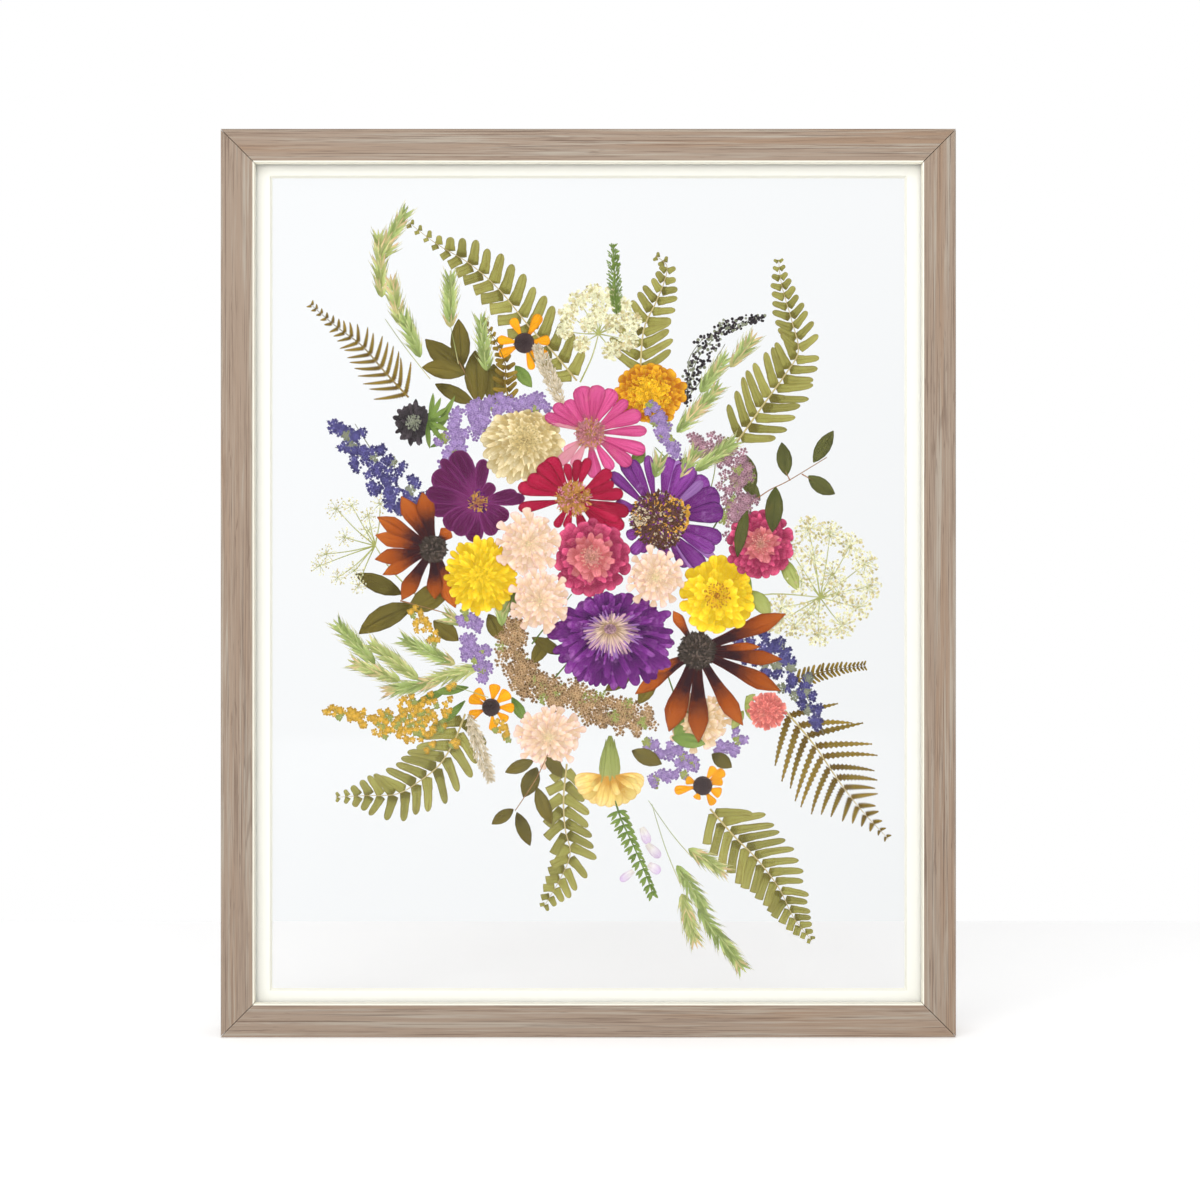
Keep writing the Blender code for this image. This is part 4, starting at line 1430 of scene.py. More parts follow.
SPECIMENS: tuple[Specimen, ...] = (
    Fern("sword_fern", (FERN, FERN_STALK), spine=((-108, 485), (-91, 472), (-71, 460), (-53, 444), (-36, 423),
        (-22, 408), (-7, 390)), widths=(2, 6, 15, 19, 21, 20, 15), pairs=17, lean=66, left=Shape.CLIPPED, trim=0.72),
    Fern("fern_top", (FERN, FERN_STALK), spine=((40, 465), (47, 459), (45, 448), (40, 436), (33, 420), (31, 393)),
        widths=(2, 6, 12, 16, 21, 22), pairs=12, lean=64),
    Fern("fern_right", (FERN, FERN_STALK), spine=((114, 463), (116, 447), (122, 426), (126, 408), (119, 395),
        (106, 377), (89, 353)), widths=(2, 8, 12, 15, 22, 26, 22), pairs=19, lean=60),
    Fern("fern_bottom_left", (FERN, FERN_STALK), spine=((-152, 140), (-134, 141), (-115, 142), (-101, 150),
        (-89, 160), (-80, 175), (-74, 190)), widths=(1, 8, 17, 20, 23, 23, 18), pairs=14, lean=64),
    Fern("fern_bottom_mid", (FERN, FERN_STALK), spine=((-27, 74), (-17, 91), (-11, 106), (-14, 121), (-15, 139),
        (-13, 160)), widths=(3, 12, 17, 19, 18, 13), pairs=13, lean=58, fill=0.82, right=Shape.CLIPPED, trim=0.75),
    Fern("fern_bottom_right", (FERN, FERN_STALK), spine=((134, 54), (123, 68), (114, 86), (101, 103), (88, 116),
        (73, 133)), widths=(2, 11, 18, 24, 27, 24), pairs=16, lean=60, right=Shape.CLIPPED, trim=0.85),
    Fern("bracken_left", (BRACKEN, BRACKEN), spine=((-167, 436), (-152, 423), (-136, 411), (-122, 395), (-108, 380)),
        widths=(1, 5, 12, 17, 19), pairs=17, lean=58, fill=0.62, left=Shape.COMB, right=Shape.COMB),
    Fern("bracken_right", (BRACKEN, FERN_STALK), spine=((180, 115), (164, 132), (150, 150), (135, 172), (118, 192)),
        widths=(1, 9, 26, 36, 30), pairs=14, lean=62, fill=0.62, left=Shape.COMB, right=Shape.COMB),
    Sprig("leaf_sprig", (OLIVE, TWIG), stems=(((-66, 373), (-71, 388), (-78, 402)),), leaves=(Leaf((-76, 398),
        (-78, 427), 12), Leaf((-74, 396), (-98, 415), 13, bow=-0.3), Leaf((-74, 394), (-100, 398), 12, bow=0.3),
        Leaf((-68, 408), (-66, 376), 15), Leaf((-57, 400), (-56, 374), 13), Leaf((-92, 388), (-68, 376), 9))),
    Sprig("olive_leaves", (OLIVE, TWIG), stems=(((-113, 258), (-98, 254), (-84, 250)),), leaves=(Leaf((-112, 262),
        (-140, 274), 11), Leaf((-105, 255), (-138, 238), 14, bow=0.4), Leaf((-108, 252), (-82, 268), 15),
        Leaf((-93, 246), (-78, 234), 11), Leaf((-100, 252), (-88, 272), 10))),
    Sprig("twig_right", (TWIG_LEAF, TWIG), stems=(((88, 306), (96, 315), (108, 324), (120, 330), (143, 344)),
        ((121, 330), (118, 336)), ((128, 334), (135, 330))), stem=0.8, leaves=(Leaf((119, 333), (116, 353), 9.5),
        Leaf((135, 341), (147, 360), 9), Leaf((132, 333), (148, 322), 9.5, bow=0.3), Leaf((95, 345), (98, 322), 10),
        Leaf((103, 318), (90, 336), 8))),
    Cluster("dark_spike", (SOOT, SAGE), band=((104, 428, 2.5), (94, 426, 3.5), (83, 422, 5), (70, 411, 7),
        (62, 393, 6), (58, 378, 4)), count=340, size=2.0, mix=(0, 0, 0, 1), shape=Shape.GRAIN, stems=(((58, 378),
        (66, 404), (83, 421), (104, 428)), ((62, 386), (60, 402), (70, 417)), ((58, 378), (72, 396), (82, 412)))),
    Umbel("lace_top", LACE, hub=(6, 418), stalk=((-5, 389), (2, 404), (6, 418)), heads=((-12, 430, 6), (-6, 438, 6),
        (3, 442, 6), (12, 440, 6), (20, 434, 6), (26, 425, 6), (24, 414, 6), (14, 408, 6), (-4, 412, 5),
        (-14, 420, 5), (6, 430, 6), (15, 424, 6), (0, 424, 5)), florets=80, size=2.3),
    Umbel("lace_left", LACE, hub=(-128, 291), stalk=((-104, 262), (-118, 276), (-128, 291)), heads=((-151, 313, 7),
        (-142, 315, 5), (-125, 316, 6), (-132, 309, 5), (-157, 286, 6), (-161, 279, 6), (-140, 276, 6),
        (-138, 267, 5), (-146, 296, 6), (-132, 300, 6), (-150, 272, 5)), florets=34, size=1.3),
    Umbel("lace_right", LACE, hub=(139, 260), stalk=((84, 257), (110, 262), (139, 260)), heads=((132, 301, 8),
        (145, 298, 8), (157, 291, 8), (166, 280, 8), (168, 266, 8), (162, 254, 8), (152, 243, 8), (138, 238, 8),
        (124, 243, 8), (116, 254, 8), (120, 290, 8), (134, 284, 8), (146, 274, 9), (128, 270, 9), (150, 262, 9),
        (134, 250, 9), (112, 244, 6)), florets=70, size=2.1),
    Cluster("delphinium_left", (INDIGO, SAGE), band=((-154, 364, 2), (-146, 357, 5), (-136, 348, 10),
        (-124, 336, 13), (-112, 322, 13), (-103, 312, 10)), count=900, size=2.75, mix=(0,) * 11 + (1,), thick=0.12,
        clump=3.1, stems=(((-101, 309), (-120, 334), (-136, 350), (-157, 366)), ((-124, 340), (-152, 350)),
        ((-128, 345), (-140, 364)))),
    Cluster("delphinium_right", (INDIGO, SAGE), band=((94, 234, 11), (105, 228, 13), (116, 220, 13), (127, 206, 9),
        (134, 194, 6), (140, 181, 2)), count=860, size=2.7, mix=(0,) * 8 + (1,), thick=0.12, clump=3.0,
        stems=(((90, 236), (112, 224), (131, 200), (141, 178)),)),
    Cluster("goldenrod_left", (GOLD, CALYX), band=((-156, 193, 3), (-148, 190, 4), (-140, 189, 4), (-130, 187, 6),
        (-120, 184, 9), (-108, 184, 11), (-98, 188, 12), (-89, 192, 12)), count=1700, size=1.5, mix=(0, 0, 0, 0, 1),
        shape=Shape.GRAIN, thick=0.3, clump=1.9, stems=(((-89, 194), (-120, 188), (-156, 193)),)),
    Grass("oat_grass_top_left", OATS, chains=(((-108, 494), (-123, 469), 1), ((-117, 474), (-125, 462), 0),
        ((-126, 480), (-124, 440), 0), ((-119, 453), (-113, 424), 0), ((-112, 432), (-101, 404), 1), ((-83, 456),
        (-83, 422), 1), ((-65, 430), (-61, 396), 1)), stems=(((-122, 427), (-110, 410), (-95, 391)), ((-83, 424),
        (-78, 400)), ((-123, 470), (-126, 462)))),
    Grass("oat_grass_left", OATS, chains=(((-153, 246), (-128, 220), 1), ((-144, 222), (-113, 210), 0), ((-133, 234),
        (-102, 211), 0), ((-114, 236), (-80, 220), 1), ((-124, 203), (-89, 210), 1), ((-96, 210), (-66, 218), 0),
        ((-52, 265), (-52, 243), 1), ((-88, 250), (-76, 244), 0)), stems=(((-89, 210), (-75, 205), (-60, 200)),)),
    Grass("oat_grass_bottom", OATS, chains=(((94, 35), (66, 73), 1), ((65, 50), (56, 82), 0), ((72, 70), (53, 99),
        1), ((84, 94), (60, 109), 0)), stems=(((38, 136), (46, 110), (55, 88)), ((36, 138), (50, 118), (62, 104)))),
    Cluster("statice_top", (LILAC, CALYX), band=((-82, 338, 5), (-83, 350, 8), (-77, 361, 10), (-67, 369, 9),
        (-57, 373, 7), (-46, 376, 6), (-35, 377, 5), (-25, 376, 4)), count=1400, size=2.1, mix=(0,) * 14 + (1,),
        thick=0.22, clump=3.0, shape=Shape.GRAIN),
    Cluster("tan_sedum", (TAN, CALYX), band=((-43, 244, 6), (-46, 232, 8), (-44, 220, 9), (-37, 210, 9),
        (-26, 204, 9), (-12, 200, 9), (0, 195, 9), (12, 190, 9), (24, 188, 9), (34, 186, 8)), count=2300, size=2.5,
        mix=(0,) * 15 + (1,), thick=0.18, clump=3.8, stems=(((-45, 235), (-38, 213), (-10, 200), (30, 188)),)),
    Cluster("mauve_sedum", (MAUVE, CALYX), band=((62, 352, 5), (72, 350, 7), (84, 345, 8), (92, 336, 8),
        (95, 324, 8), (92, 311, 8), (87, 300, 7), (78, 332, 6)), count=1300, size=2.3, mix=(0, 0, 0, 0, 0, 1),
        thick=0.2, clump=3.1, stems=(((70, 316), (82, 330), (92, 336)), ((72, 320), (76, 340), (70, 350)))),
    Rosette("black_scabiosa", (SOOT, SAGE, CALYX), whorls=(Whorl(15, 0.4, 1.0, 0.26, Shape.LANCE, 0, 0.1, 0.3),
        Whorl(17, 0.35, 0.92, 0.24, Shape.SCALE, 0, 0.2, 0.35), Whorl(16, 0.3, 0.78, 0.24, Shape.SCALE, 0, 0.3, 0.3),
        Whorl(14, 0.2, 0.6, 0.22, Shape.SCALE, 0, 0.4, 0.3), Whorl(12, 0.1, 0.4, 0.2, Shape.SCALE, 0, 0.5, 0.3)),
        heart=0.34, grains=60, heart_coat=1, grain=1.4),
    Rosette("orange_marigold", (MARIGOLD, MARIGOLD_HEART), whorls=doubled(30, 6, 0.26, Shape.SCALE, 0.3, 1),
        heart=0.6, grains=150, grain=2.2),
    RayFlower("ring_zinnia", (VIOLET, VIOLET_FOLD, CONE, CONE_GOLD, CONE_CREAM), hub=(42, 307), eye=17, root=8,
        grains=760, grain=2.0, heart_coats=(2,) * 9 + (0, 3, 4), halos=((9, 1.7, 9.5, 50, 3), (9, 1.7, 8.2, 20, 3),
        (-11, -1, 2.5, 30, 4), (-10, 2, 4.5, 24, 4), (4, -9, 5, 40, 2), (4, -9, 8, 50, 2), (8, 0, 4, 30, 2)),
        rays=fan((-28, 29, 8), (-22, 35, 8), (-15, 36, 7), (-8, 38, 7), (8.4, 37, 11), (20, 32, 17), (29, 25, 14),
        (36, 16, 17), (39, 4, 15), (38, -12, 12), (33, -20, 10), (27, -30, 11), (17, -29, 9), (-19, -11, 8),
        (-16, -21, 8), (-11, -20, 8), (-26, 10, 8), (4, -26, 9)) + fan((-18, 33, 6), (13, 35, 6), (27, 22, 7),
        (34, -24, 6), (22, -30, 6), coat=1)),
    RayFlower("susan_left", SUSAN, heart_coats=(1, 2), hub=(-58.5, 194), eye=5.5, root=4, dome=5.4, grains=50,
        grain=0.9, rays=fan((-9, 11, 7), (-13, 6, 7), (3, 14, 8), (11, 9, 9), (14, 0, 7), (-13, -5, 7), (2, -14, 6),
        (10, -8, 6))),
    Rosette("peach_daisy", (PEACH, BLUSH_HEART), whorls=doubled(28, 5, 0.22, Shape.STRAP, 0.4, wild=0.3), heart=0.35,
        grains=60),
    # The halos of dark cone grains round the cone's rim are painted shade at its edge.
    RayFlower("rudbeckia_right", (RUSSET, GREY_CONE, CONE_SPECK), hub=(65, 228), eye=10.8, root=9, dome=10.8,
        grains=300, grain=1.5, plump=1.12, heart_coats=(1, 1, 2), halos=((0, 0, 10.4, 80, 1), (0, 0, 9.6, 70, 1)),
        rays=fan((53, 22.6, 10), (51, -6.7, 8), (50, -24, 9.5), (26, -45.7, 9.5), (1.3, -55, 11), (-18, -48, 12),
        (-37, -26, 8), (-14, 24, 6), (6, 24, 6), (38, 4, 5), (-26, -12, 6), shape=Shape.DROOP)),
    Rosette("violet_aster", (ASTER, ASTER_HEART, VIOLET_FOLD, MAUVE), whorls=(Whorl(46, 0.3, 1.0, 0.155, Shape.STRAP,
        0, 0.12, 0.14), Whorl(40, 0.25, 0.92, 0.15, Shape.STRAP, 0, 0.24, 0.16),
        Whorl(36, 0.2, 0.78, 0.14, Shape.STRAP, 0, 0.36), Whorl(34, 0.15, 0.6, 0.12, Shape.STRAP, 0, 0.46, 0.2),
        Whorl(84, 0.12, 0.46, 0.06, Shape.QUILL, 2, 0.56, 0.3), Whorl(80, 0.1, 0.42, 0.05, Shape.QUILL, 3, 0.62,
        0.3), Whorl(76, 0.1, 0.36, 0.045, Shape.QUILL, 1, 0.68, 0.3)), heart=0.2, grains=200, grain=1.3,
        heart_coat=3, centre=(13, 241)),
    # The halo of dark cone grains round the cone's rim is painted shade at its edge.
    RayFlower("rudbeckia_left", (RUSSET, GREY_CONE, CONE_SPECK), hub=(-93, 289), eye=8, root=6, dome=8, grains=200,
        plump=1.25, grain=1.4, heart_coats=(1, 1, 2), halos=((0, 0, 7.6, 60, 1),), rays=fan((-20, 31, 8.5),
        (-6, 34, 9), (-33, 20, 8), (-35, 7, 7.5), (-35, -6, 7.5), (-20, -30, 8), (14, -35, 9), (2, -30, 8),
        (-30, -16, 6), (10, 12, 7), shape=Shape.DROOP)),
    RayFlower("plum_flower", (PLUM, CRIMSON_HEART, ASTER), hub=(-66, 317), eye=6.5, root=2, grains=90, grain=1.2,
        heart_coats=(1, 2), rays=fan((-13, 31, 17), (-27, 17.6, 17), (-31, 6.7, 13), (-29, -5, 13), (-20, -15, 15),
        (-12.6, -20, 13), (-3.4, -24, 13), (9, -20, 11), (18, -10, 11), (28, 2.5, 9), (23, 6, 8), (9, 11, 9),
        (2, 26, 10), (-22, 26, 9), (14, -16, 8), shape=Shape.BROAD) + fan((-10, 4, 3), (-8, -8, 3), (6, -9, 3),
        (9, 3, 3), (0, 8, 3), coat=2)),
    Rosette("cream_zinnia", (CREAM, CREAM_HEART), whorls=doubled(36, 9, 0.22, Shape.SCALE, 0.36), heart=0.4,
        grains=140, grain=1.7, centre=(-38, 354)),
    RayFlower("hot_pink_zinnia", (PINK, PINK_HEART, PINK_PALE, CRIMSON_HEART), hub=(1, 358), eye=9.5, root=4,
        grains=200, grain=1.3, heart_coats=(1, 1, 2, 3), rays=fan((-14, 20, 10), (-5, 28.5, 14), (5, 29, 12),
        (13, 27, 12), (23, 19, 8), (30, 13, 11), (34, 2.5, 8), (33, -11, 10), (25, -18, 10), (13, -22, 8),
        (2, -27, 10), (-27, 11, 8), (-22, 17, 9), (-9, 26, 8)) + fan((-20, -18, 8), (-15, -12, 7), (-10, -20, 7),
        (-24, 8, 5), coat=2)),
    Rosette("yellow_bloom_left", (YELLOW, YELLOW_HEART), whorls=doubled(36, 8, 0.19, Shape.SCALE, 0.25), heart=0.25,
        grains=60, grain=1.8, heart_coat=0),
    RayFlower("crimson_zinnia", (CRIMSON, CRIMSON_HEART, PINK_PALE), hub=(-9, 319), eye=11, root=5, grains=230,
        grain=1.4, heart_coats=(1, 1, 2), rays=fan((-16, 24, 13), (-21, 20, 12), (-27, 13.5, 11), (-33, 8.5, 10),
        (-33, -6, 8), (-4, 21, 6), (2, 23.5, 7), (10, 24, 7), (23, 16, 9), (24.5, 9, 7), (30, 2.5, 9),
        (33.5, -7.5, 10), (30.6, -17, 10), (-11, -17, 6), (-4, -18, 6), (6, -17, 7), (18, -17, 8), (27, -14, 8))),
    Rosette("yellow_bloom_right", (YELLOW, YELLOW_HEART), whorls=doubled(22, 6, 0.34, Shape.SCALE, 0.3, 0),
        heart=0.34, grains=90, grain=1.7),
    Rosette("rose_zinnia_right", (ROSE, ROSE_HEART, SALMON), whorls=doubled(24, 6, 0.3, Shape.SCALE, 0.35, 2),
        heart=0.3, grains=80, grain=1.4),
    Rosette("rose_zinnia_centre", (ROSE, ROSE_HEART, SALMON), whorls=doubled(20, 5, 0.34, Shape.SCALE, 0.4, 2),
        heart=0.3, grains=80, grain=1.6),
    *(Rosette(f"blush_daisy_{side}", (BLUSH, BLUSH_HEART), heart=heart, grains=grains, grain=grain,
        whorls=doubled(outer, rings, width, Shape.STRAP, core, wild=0.3)) for side, outer, rings, width, core, heart,
        grains, grain in (("upper", 26, 6, 0.25, 0.3, 0.3, 60, 1.3), ("middle", 24, 6, 0.26, 0.3, 0.25, 40, 1.3),
        ("right", 22, 5, 0.27, 0.35, 0.35, 50, 1.3), ("lower", 28, 5, 0.22, 0.35, 0.25, 40, 1.2))),
    RayFlower("susan_top", SUSAN, heart_coats=(1, 2), hub=(-38.5, 412.5), eye=5, root=3.5, dome=6.2, grains=60,
        grain=0.9, rays=fan((-7, 15, 6.5), (9.5, 17, 7.5), (15.5, 2, 7), (14, -8, 7), (5, -16, 5.5), (-16, 2, 6.5),
        (-15, -7, 7), (10, -12, 5))),
    RayFlower("susan_bottom", SUSAN, heart_coats=(1, 2), hub=(68.5, 147), eye=5, root=4, dome=5.8, grains=60,
        grain=0.9, rays=fan((-17, -3, 6.5), (13, 9, 7), (7, 11.5, 6), (11, -5, 7.5), (6.5, -11.5, 6), (-4, -8, 5.5),
        (-10, 4, 6), (12, 3, 6))),
    Rosette("coral_amaranth", (CORAL, CORAL, GREEN), whorls=doubled(34, 9, 0.2, Shape.QUILL, 0.1), heart=0.1,
        grains=10),
    Sprig("pale_marigold", (BUTTER, CALYX), stem_coat=1, stem=3.0, stems=(((13, 175), (12.8, 150)),),
        leaves=tuple(Leaf((12.5 + 4 * math.cos(a), 153), (12.5 + 21 * math.cos(a) * r, 152 - 17 * abs(math.sin(a)) *
        r - 1), 8 * r, 0, Shape.BROAD) for r, n in ((1.0, 13), (0.82, 11), (0.62, 9)) for a in (math.pi * (-0.02 +
        1.04 * i / (n - 1)) for i in range(n))) + tuple(Leaf((13, 177), (12.6, 149), 13 - 2 * i, 1, Shape.BROAD) for
        i in range(2)) + tuple(Leaf((10.5 + 1.0 * i, 175), (7.6 + 2.0 * i, 147), 2.4, 1, Shape.LANCE) for i in
        range(6))),
    Cluster("statice_right", (LILAC, CALYX), near="orange_marigold", step=1.3, band=((36, 373, 3), (41, 367, 4.5),
        (46, 360, 5), (50, 352, 4.5), (52, 347, 3)), count=420, size=2.0, mix=(0,) * 9 + (1,), thick=0.22, clump=2.6,
        shape=Shape.GRAIN),
    Cluster("statice_left", (LILAC, CALYX), near="oat_grass_left", step=0.6, band=((-74, 248, 4.2), (-67, 244, 4.2),
        (-71, 234, 4.2), (-75, 226, 4), (-68, 227, 3), (-63, 227, 3), (-67, 220, 4), (-62, 218, 3), (-64, 213, 3)),
        count=760, size=1.9, mix=(0,) * 10 + (1,), thick=0.22, clump=2.5, shape=Shape.GRAIN, strewn=True),
    Cluster("statice_bottom", (LILAC, CALYX), near="peach_daisy", step=-0.6, band=((38, 172, 4), (46, 168, 5),
        (54, 165, 5), (61, 163, 4), (90, 177, 5), (86, 170, 4), (40, 151, 4), (48, 152, 4), (56, 157, 5),
        (62, 160, 4), (79, 168, 4)), count=900, size=1.9, mix=(0,) * 8 + (1,), thick=0.22, clump=2.5,
        shape=Shape.GRAIN, strewn=True),
    Cluster("goldenrod_tufts", (GOLD, CALYX), near="goldenrod_left", step=0.1, band=((-104, 249, 5), (-99, 242, 5),
        (-94, 236, 4), (-83, 206, 4), (-108, 197, 6), (-98, 192, 6), (-100, 182, 5), (-97, 173, 5), (-54, 183, 4),
        (-49, 177, 4), (-80, 172, 3)), count=900, size=1.5, mix=(0, 0, 0, 0, 1), shape=Shape.GRAIN, thick=0.3,
        clump=1.9, strewn=True),
    Grass("oat_grass_right", OATS, near="mauve_sedum", step=0.8, chains=(((101, 418), (85, 398), 2), ((84, 406),
        (67, 383), 1), ((80, 388), (53, 359), 1), ((90, 355), (64, 336), 1), ((66, 350), (55, 332), 1), ((44, 347),
        (40, 332), 1)), stems=(((85, 399), (70, 386), (54, 360)),)),
    Sprig("leaf_sprig_bottom", (OLIVE, TWIG), near="fern_bottom_mid", step=0.7, stem=0.8, stems=(((-22, 172),
        (-31, 152), (-44, 132)), ((-46, 133), (-50, 128))), leaves=(Leaf((-33, 162), (-50, 155), 8), Leaf((-31, 158),
        (-39, 140), 11), Leaf((-31, 146), (-22, 124), 9, bow=0.2), Leaf((-45, 133), (-58, 124), 7.5),
        Leaf((-43, 131), (-35, 111), 8.5), Leaf((-26, 168), (-16, 152), 9))),
    Sprig("snapdragon_stem", (GREEN, GREEN, BELL), near="fern_bottom_mid", step=0.6, stem=1.2, stems=(((16, 138),
        (20, 126), (28, 109), (34, 95), (39, 81)),), leaves=tuple(Leaf((17 + 22 * s, 134 - 52 * s), (17 + 22 * s + dx
        * 6.5 * (1.1 - s * 0.6), 134 - 52 * s - 3 + dz), 2.0, 0, Shape.LANCE) for s in (0.04, 0.12, 0.2, 0.28, 0.36,
        0.44, 0.53, 0.62, 0.71, 0.8, 0.89, 0.97) for dx, dz in ((-1, -1), (-0.6, -3), (0.8, 2.5), (1, -1))) +
        (Leaf((32, 122), (36, 112), 6, 2, Shape.SCALE), Leaf((35, 112), (43, 104), 6, 2, Shape.SCALE),
        Leaf((36, 100), (43, 95), 6, 2, Shape.SCALE), Leaf((27, 96), (19, 90), 5, 2, Shape.SCALE))),
    Tail("bunny_tail_top", (FUR,), near="statice_top", step=0.6, path=((-15, 374), (-31, 410)), reach=7),
    Tail("bunny_tail_left", (FUR,), near="goldenrod_left", step=0.9, path=((-72, 190), (-59, 151)), reach=7),
    Tail("green_spike", (GREEN,), near="lace_top", step=0.2, path=((17, 430), (14.5, 471)), reach=5, bristles=260,
        length=3.4, lean=50),
    Fern("loose_fronds", (BRACKEN, BRACKEN), near="bracken_right", step=0.1, spine=((166, 219), (150, 217),
        (136, 214), (124, 210)), widths=(1, 4, 6, 7), pairs=16, lean=62, fill=0.7),
    Fern("curled_frond", (BRACKEN, BRACKEN), near="sword_fern", step=0.65, spine=((-64, 426), (-56, 414), (-50, 400),
        (-50, 388), (-47, 377)), widths=(1, 3, 5, 8, 8), pairs=13, lean=64, fill=0.75),
    Sprig("under_leaves", (OLIVE, GREEN), near="sword_fern", step=0.3, stem=1.0, stem_coat=1, stems=(((-34, 232),
        (-10, 262)), ((-20, 212), (4, 240)), ((20, 208), (24, 236)), ((52, 200), (40, 236)), ((-52, 246),
        (-40, 262)), ((-82, 342), (-66, 330)), ((60, 330), (40, 350)), ((74, 300), (92, 330))),
        leaves=(Leaf((-24, 236), (-34, 220), 9, 0), Leaf((-16, 226), (-34, 236), 8, 0), Leaf((26, 214), (10, 204), 8,
        0), Leaf((40, 212), (30, 196), 9, 0), Leaf((-48, 272), (-46, 250), 10, 1), Leaf((-56, 350), (-62, 362), 11,
        1), Leaf((26, 340), (34, 348), 8, 1), Leaf((60, 344), (52, 332), 9, 0), Leaf((84, 280), (90, 268), 9, 1),
        Leaf((-60, 250), (-52, 234), 10, 0), Leaf((50, 176), (70, 172), 9, 1), Leaf((74, 166), (86, 158), 9, 0),
        Leaf((-70, 300), (-82, 312), 9, 0), Leaf((60, 192), (52, 176), 9, 1), Leaf((26, 168), (44, 160), 10, 0))),
    Sprig("twig_leaves", (TWIG_LEAF, TWIG), near="rose_zinnia_right", step=1.2, stems=(), leaves=(Leaf((112, 326),
        (110, 299), 11), Leaf((95, 312), (89, 284), 7.5, bow=0.2))),
    Sprig("scabiosa_leaves", (GREEN, CALYX), near="black_scabiosa", step=0.9, stems=(), leaves=tuple(Leaf((-96, 366),
        (-96 + 13 * math.cos(a), 366 + 17 * math.sin(a)), 3.2, 0, Shape.LANCE, 0.3) for a in
        (1.35, 0.95, 0.5, 0.1, -0.35, -0.8, -1.5))),
    Sprig("loose_leaves", (GREEN, CALYX), near="statice_top", step=-0.4, stems=(), leaves=(Leaf((-84, 205),
        (-104, 196), 5.5, 0, Shape.LANCE), Leaf((-72, 206), (-92, 203), 6, 0, Shape.LANCE), Leaf((-74, 198),
        (-88, 184), 5, 0, Shape.LANCE), Leaf((-46, 200), (-38, 186), 7, 0, Shape.LANCE), Leaf((-44, 399), (-34, 386),
        8, 0), Leaf((-93, 357), (-80, 381), 4, 0, Shape.LANCE), Leaf((-91, 360), (-84, 371), 4, 0, Shape.LANCE),
        Leaf((-95, 350), (-82, 356), 3.5, 0, Shape.LANCE), Leaf((116, 284), (126, 264), 9, 1), Leaf((98, 264),
        (109, 249), 10, 1), Leaf((88, 284), (98, 262), 7, 0), Leaf((93, 192), (86, 181), 6, 1), Leaf((95, 201),
        (98, 186), 6, 1, Shape.LANCE), Leaf((94, 196), (100, 202), 5, 1))),
)


# -------------------------------------------------------------------- frame


@dataclass
class FrameAndGlazing:
    """The CAD nodes of the frame, which stay as they are and take better finishes."""

    face_width: float = 19.7
    window_width: float = 376.7
    window_height: float = 482.5
    bevel: float = 1.4

    def dress(self) -> None:
        """Give every node of the frame its finish."""
        nodes = frame["nodes"]
        low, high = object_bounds()
        middle = (low.z + high.z) / 2
        for name in ("left", "right", "top", "bottom"):
            upright = name in ("left", "right")
            span = high.x - low.x if upright else high.z - low.z
            sight = span / 2 - self.face_width * MM
            self.coat(nodes[f"frame_rail_{name}"],
                      WoodFinish(f"weathered_{name}", upright, sight, 0.0 if upright else middle))
            self.coat(nodes[f"stop_{name}"], PineFinish(f"pine_{name}", upright))
        board = BoardFinish("mat_paper", half_width=(self.window_width / 2 + self.bevel) * MM,
                            half_height=(self.window_height / 2 + self.bevel) * MM, middle=middle)
        self.coat(nodes["mat_board"], board)
        self.coat(nodes["spacer_ring"], BoardFinish("spacer_paper"))
        for name in ("front_glass", "back_glass"):
            self.coat(nodes[name], PaneFinish("clear_pane"))
            nodes[name].visible_shadow = False

    def coat(self, node: bpy.types.Object, finish: Finish) -> None:
        """Assign a finish to a node's material slots.

        Args:
            node: the CAD node.
            finish: its finish.
        """
        for place in node.material_slots:
            place.material = finish.material()
        LOG.info("%s: %s", node.name, finish.name)


# -------------------------------------------------------------------- stage


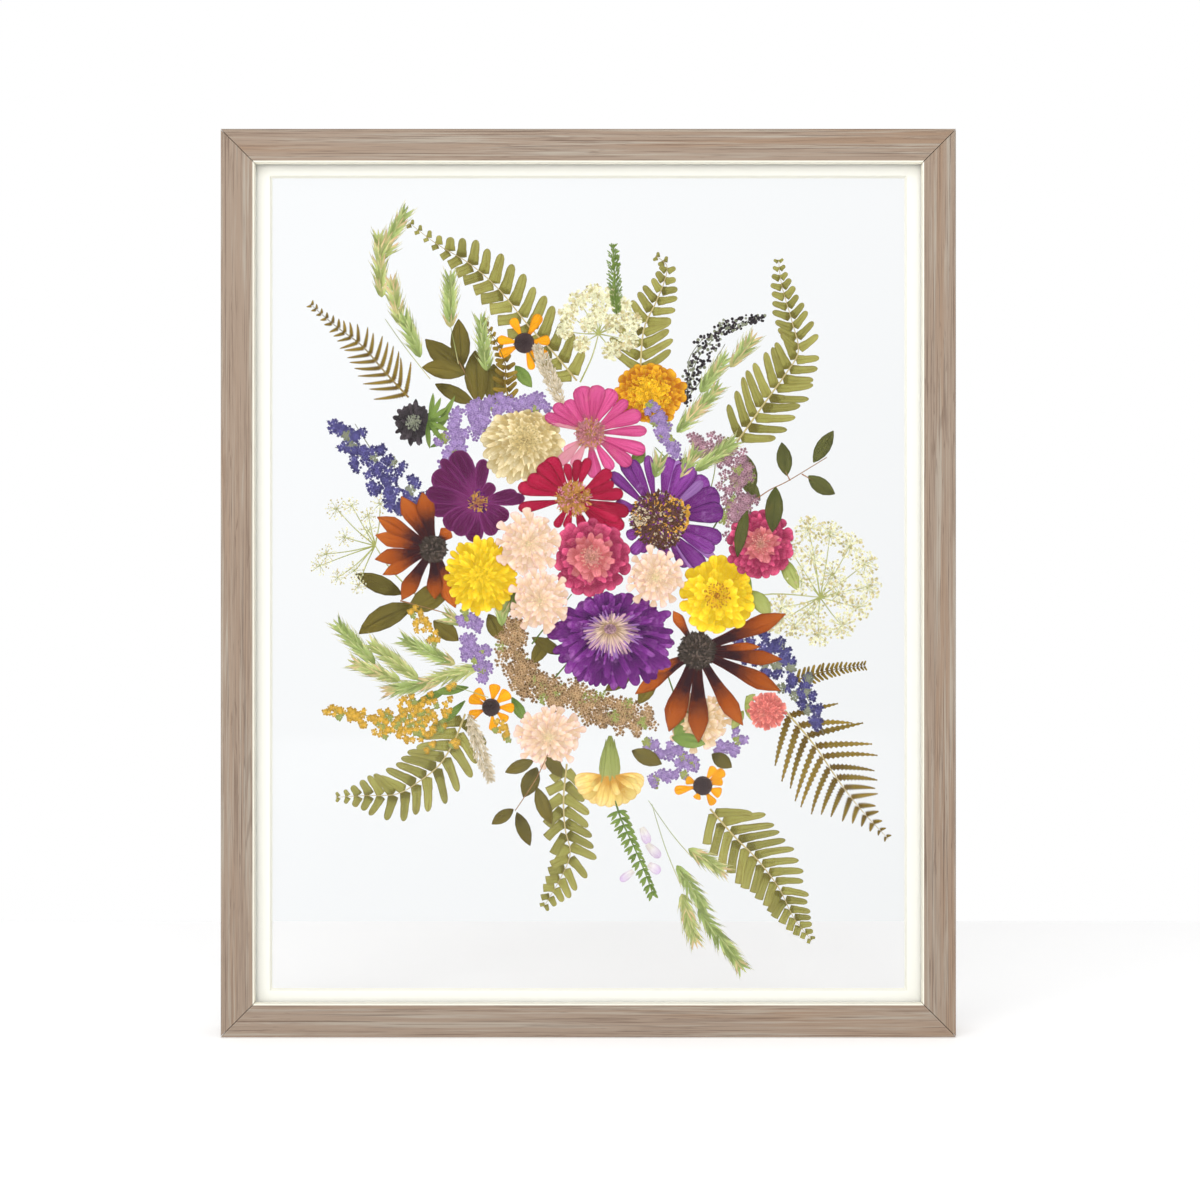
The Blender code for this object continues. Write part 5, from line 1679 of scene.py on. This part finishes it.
@dataclass
class Studio:
    """The table, the soft light and the camera."""

    camera: tuple[float, float, float] = (0.0069, -1.0, 0.2584)
    aim: tuple[float, float, float] = (0.0, 0.0, 0.27)
    table_width: float = 8.0
    table_start: float = -3.0
    table_end: float = 0.342
    table_drop: float = -0.0003
    lamps: tuple[tuple[str, tuple[float, float, float], float, float], ...] = (
        ("key", (-0.45, -1.7, 1.15), 2.0, 26.0), ("fill", (1.6, -1.4, 0.9), 1.2, 3.0))

    def build(self) -> None:
        """Set up the whole stage."""
        self.table()
        self.light()
        self.sky()
        self.lens()

    def table(self) -> None:
        """A pale table that ends a little behind the frame."""
        bpy.ops.object.select_all(action="DESELECT")
        bpy.ops.mesh.primitive_plane_add(size=1.0, location=(0, 0, 0))
        floor = bpy.context.object
        floor.name = "table"
        floor.scale = (self.table_width, self.table_end - self.table_start, 1.0)
        floor.location = (0.0, (self.table_end + self.table_start) / 2, self.table_drop)
        bpy.ops.object.transform_apply(location=True, rotation=True, scale=True)
        floor.data.materials.append(StageFinish("table_paint").material())
        floor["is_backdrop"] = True

    def light(self) -> None:
        """One broad soft light above the front and a weaker one at the right, each turned to the bouquet."""
        for name, place, size, power in self.lamps:
            lamp = bpy.data.lights.new(name, "AREA")
            lamp.size = size
            lamp.energy = power
            thing = bpy.data.objects.new(name, lamp)
            thing.location = place
            way = np.array(self.aim) - np.array(place)
            thing.rotation_euler = (math.pi / 2 + math.atan2(way[2], math.hypot(way[0], way[1])), 0.0,
                                    math.atan2(-way[0], way[1]))
            thing.visible_glossy = thing.visible_transmission = False
            bpy.context.scene.collection.objects.link(thing)

    def sky(self) -> None:
        """White surroundings, softer as a light and darker where the glass mirrors them."""
        world = bpy.data.worlds.new("studio")
        bpy.context.scene.world = world
        tree = ShaderTree(world)
        glossy, through, seen = (tree.add("ShaderNodeLightPath", output=f"Is {ray} Ray")
                                 for ray in ("Glossy", "Transmission", "Camera"))
        slope = tree.add("ShaderNodeVectorMath", {"operation": "DOT_PRODUCT"},
                         {0: tree.add("ShaderNodeTexCoord", output="Generated"), 1: (1.3, 0.45, -1.5)}, "Value")
        direct = tree.blend(glossy, (0.64, 0.64, 0.64, 1.0), (0.13, 0.132, 0.135, 1.0))
        pane = tree.blend(slope, (0.99, 1.005, 1.015, 1.0), (0.90, 0.915, 0.92, 1.0))
        tree.dress(Color=tree.blend(seen, tree.blend(through, direct, pane), WHITE))

    def lens(self) -> None:
        """The camera, level and square to the frame."""
        data = bpy.data.cameras.new("camera")
        data.lens = 50.0
        data.sensor_width = 36.0
        data.clip_start = 0.01
        thing = bpy.data.objects.new("camera", data)
        thing.location = self.camera
        thing.rotation_euler = (math.pi / 2, 0.0, 0.0)
        bpy.context.scene.collection.objects.link(thing)
        bpy.context.scene.camera = thing
        bpy.context.scene.view_settings.view_transform = "Standard"


def main() -> None:
    """Dress the frame, press the flowers and set the stage."""
    logging.basicConfig(level=logging.INFO, format="%(name)s %(message)s")
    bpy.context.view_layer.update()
    FrameAndGlazing().dress()
    for specimen in SPECIMENS:
        specimen.build()
    Studio().build()


if __name__ == "__main__":
    main()
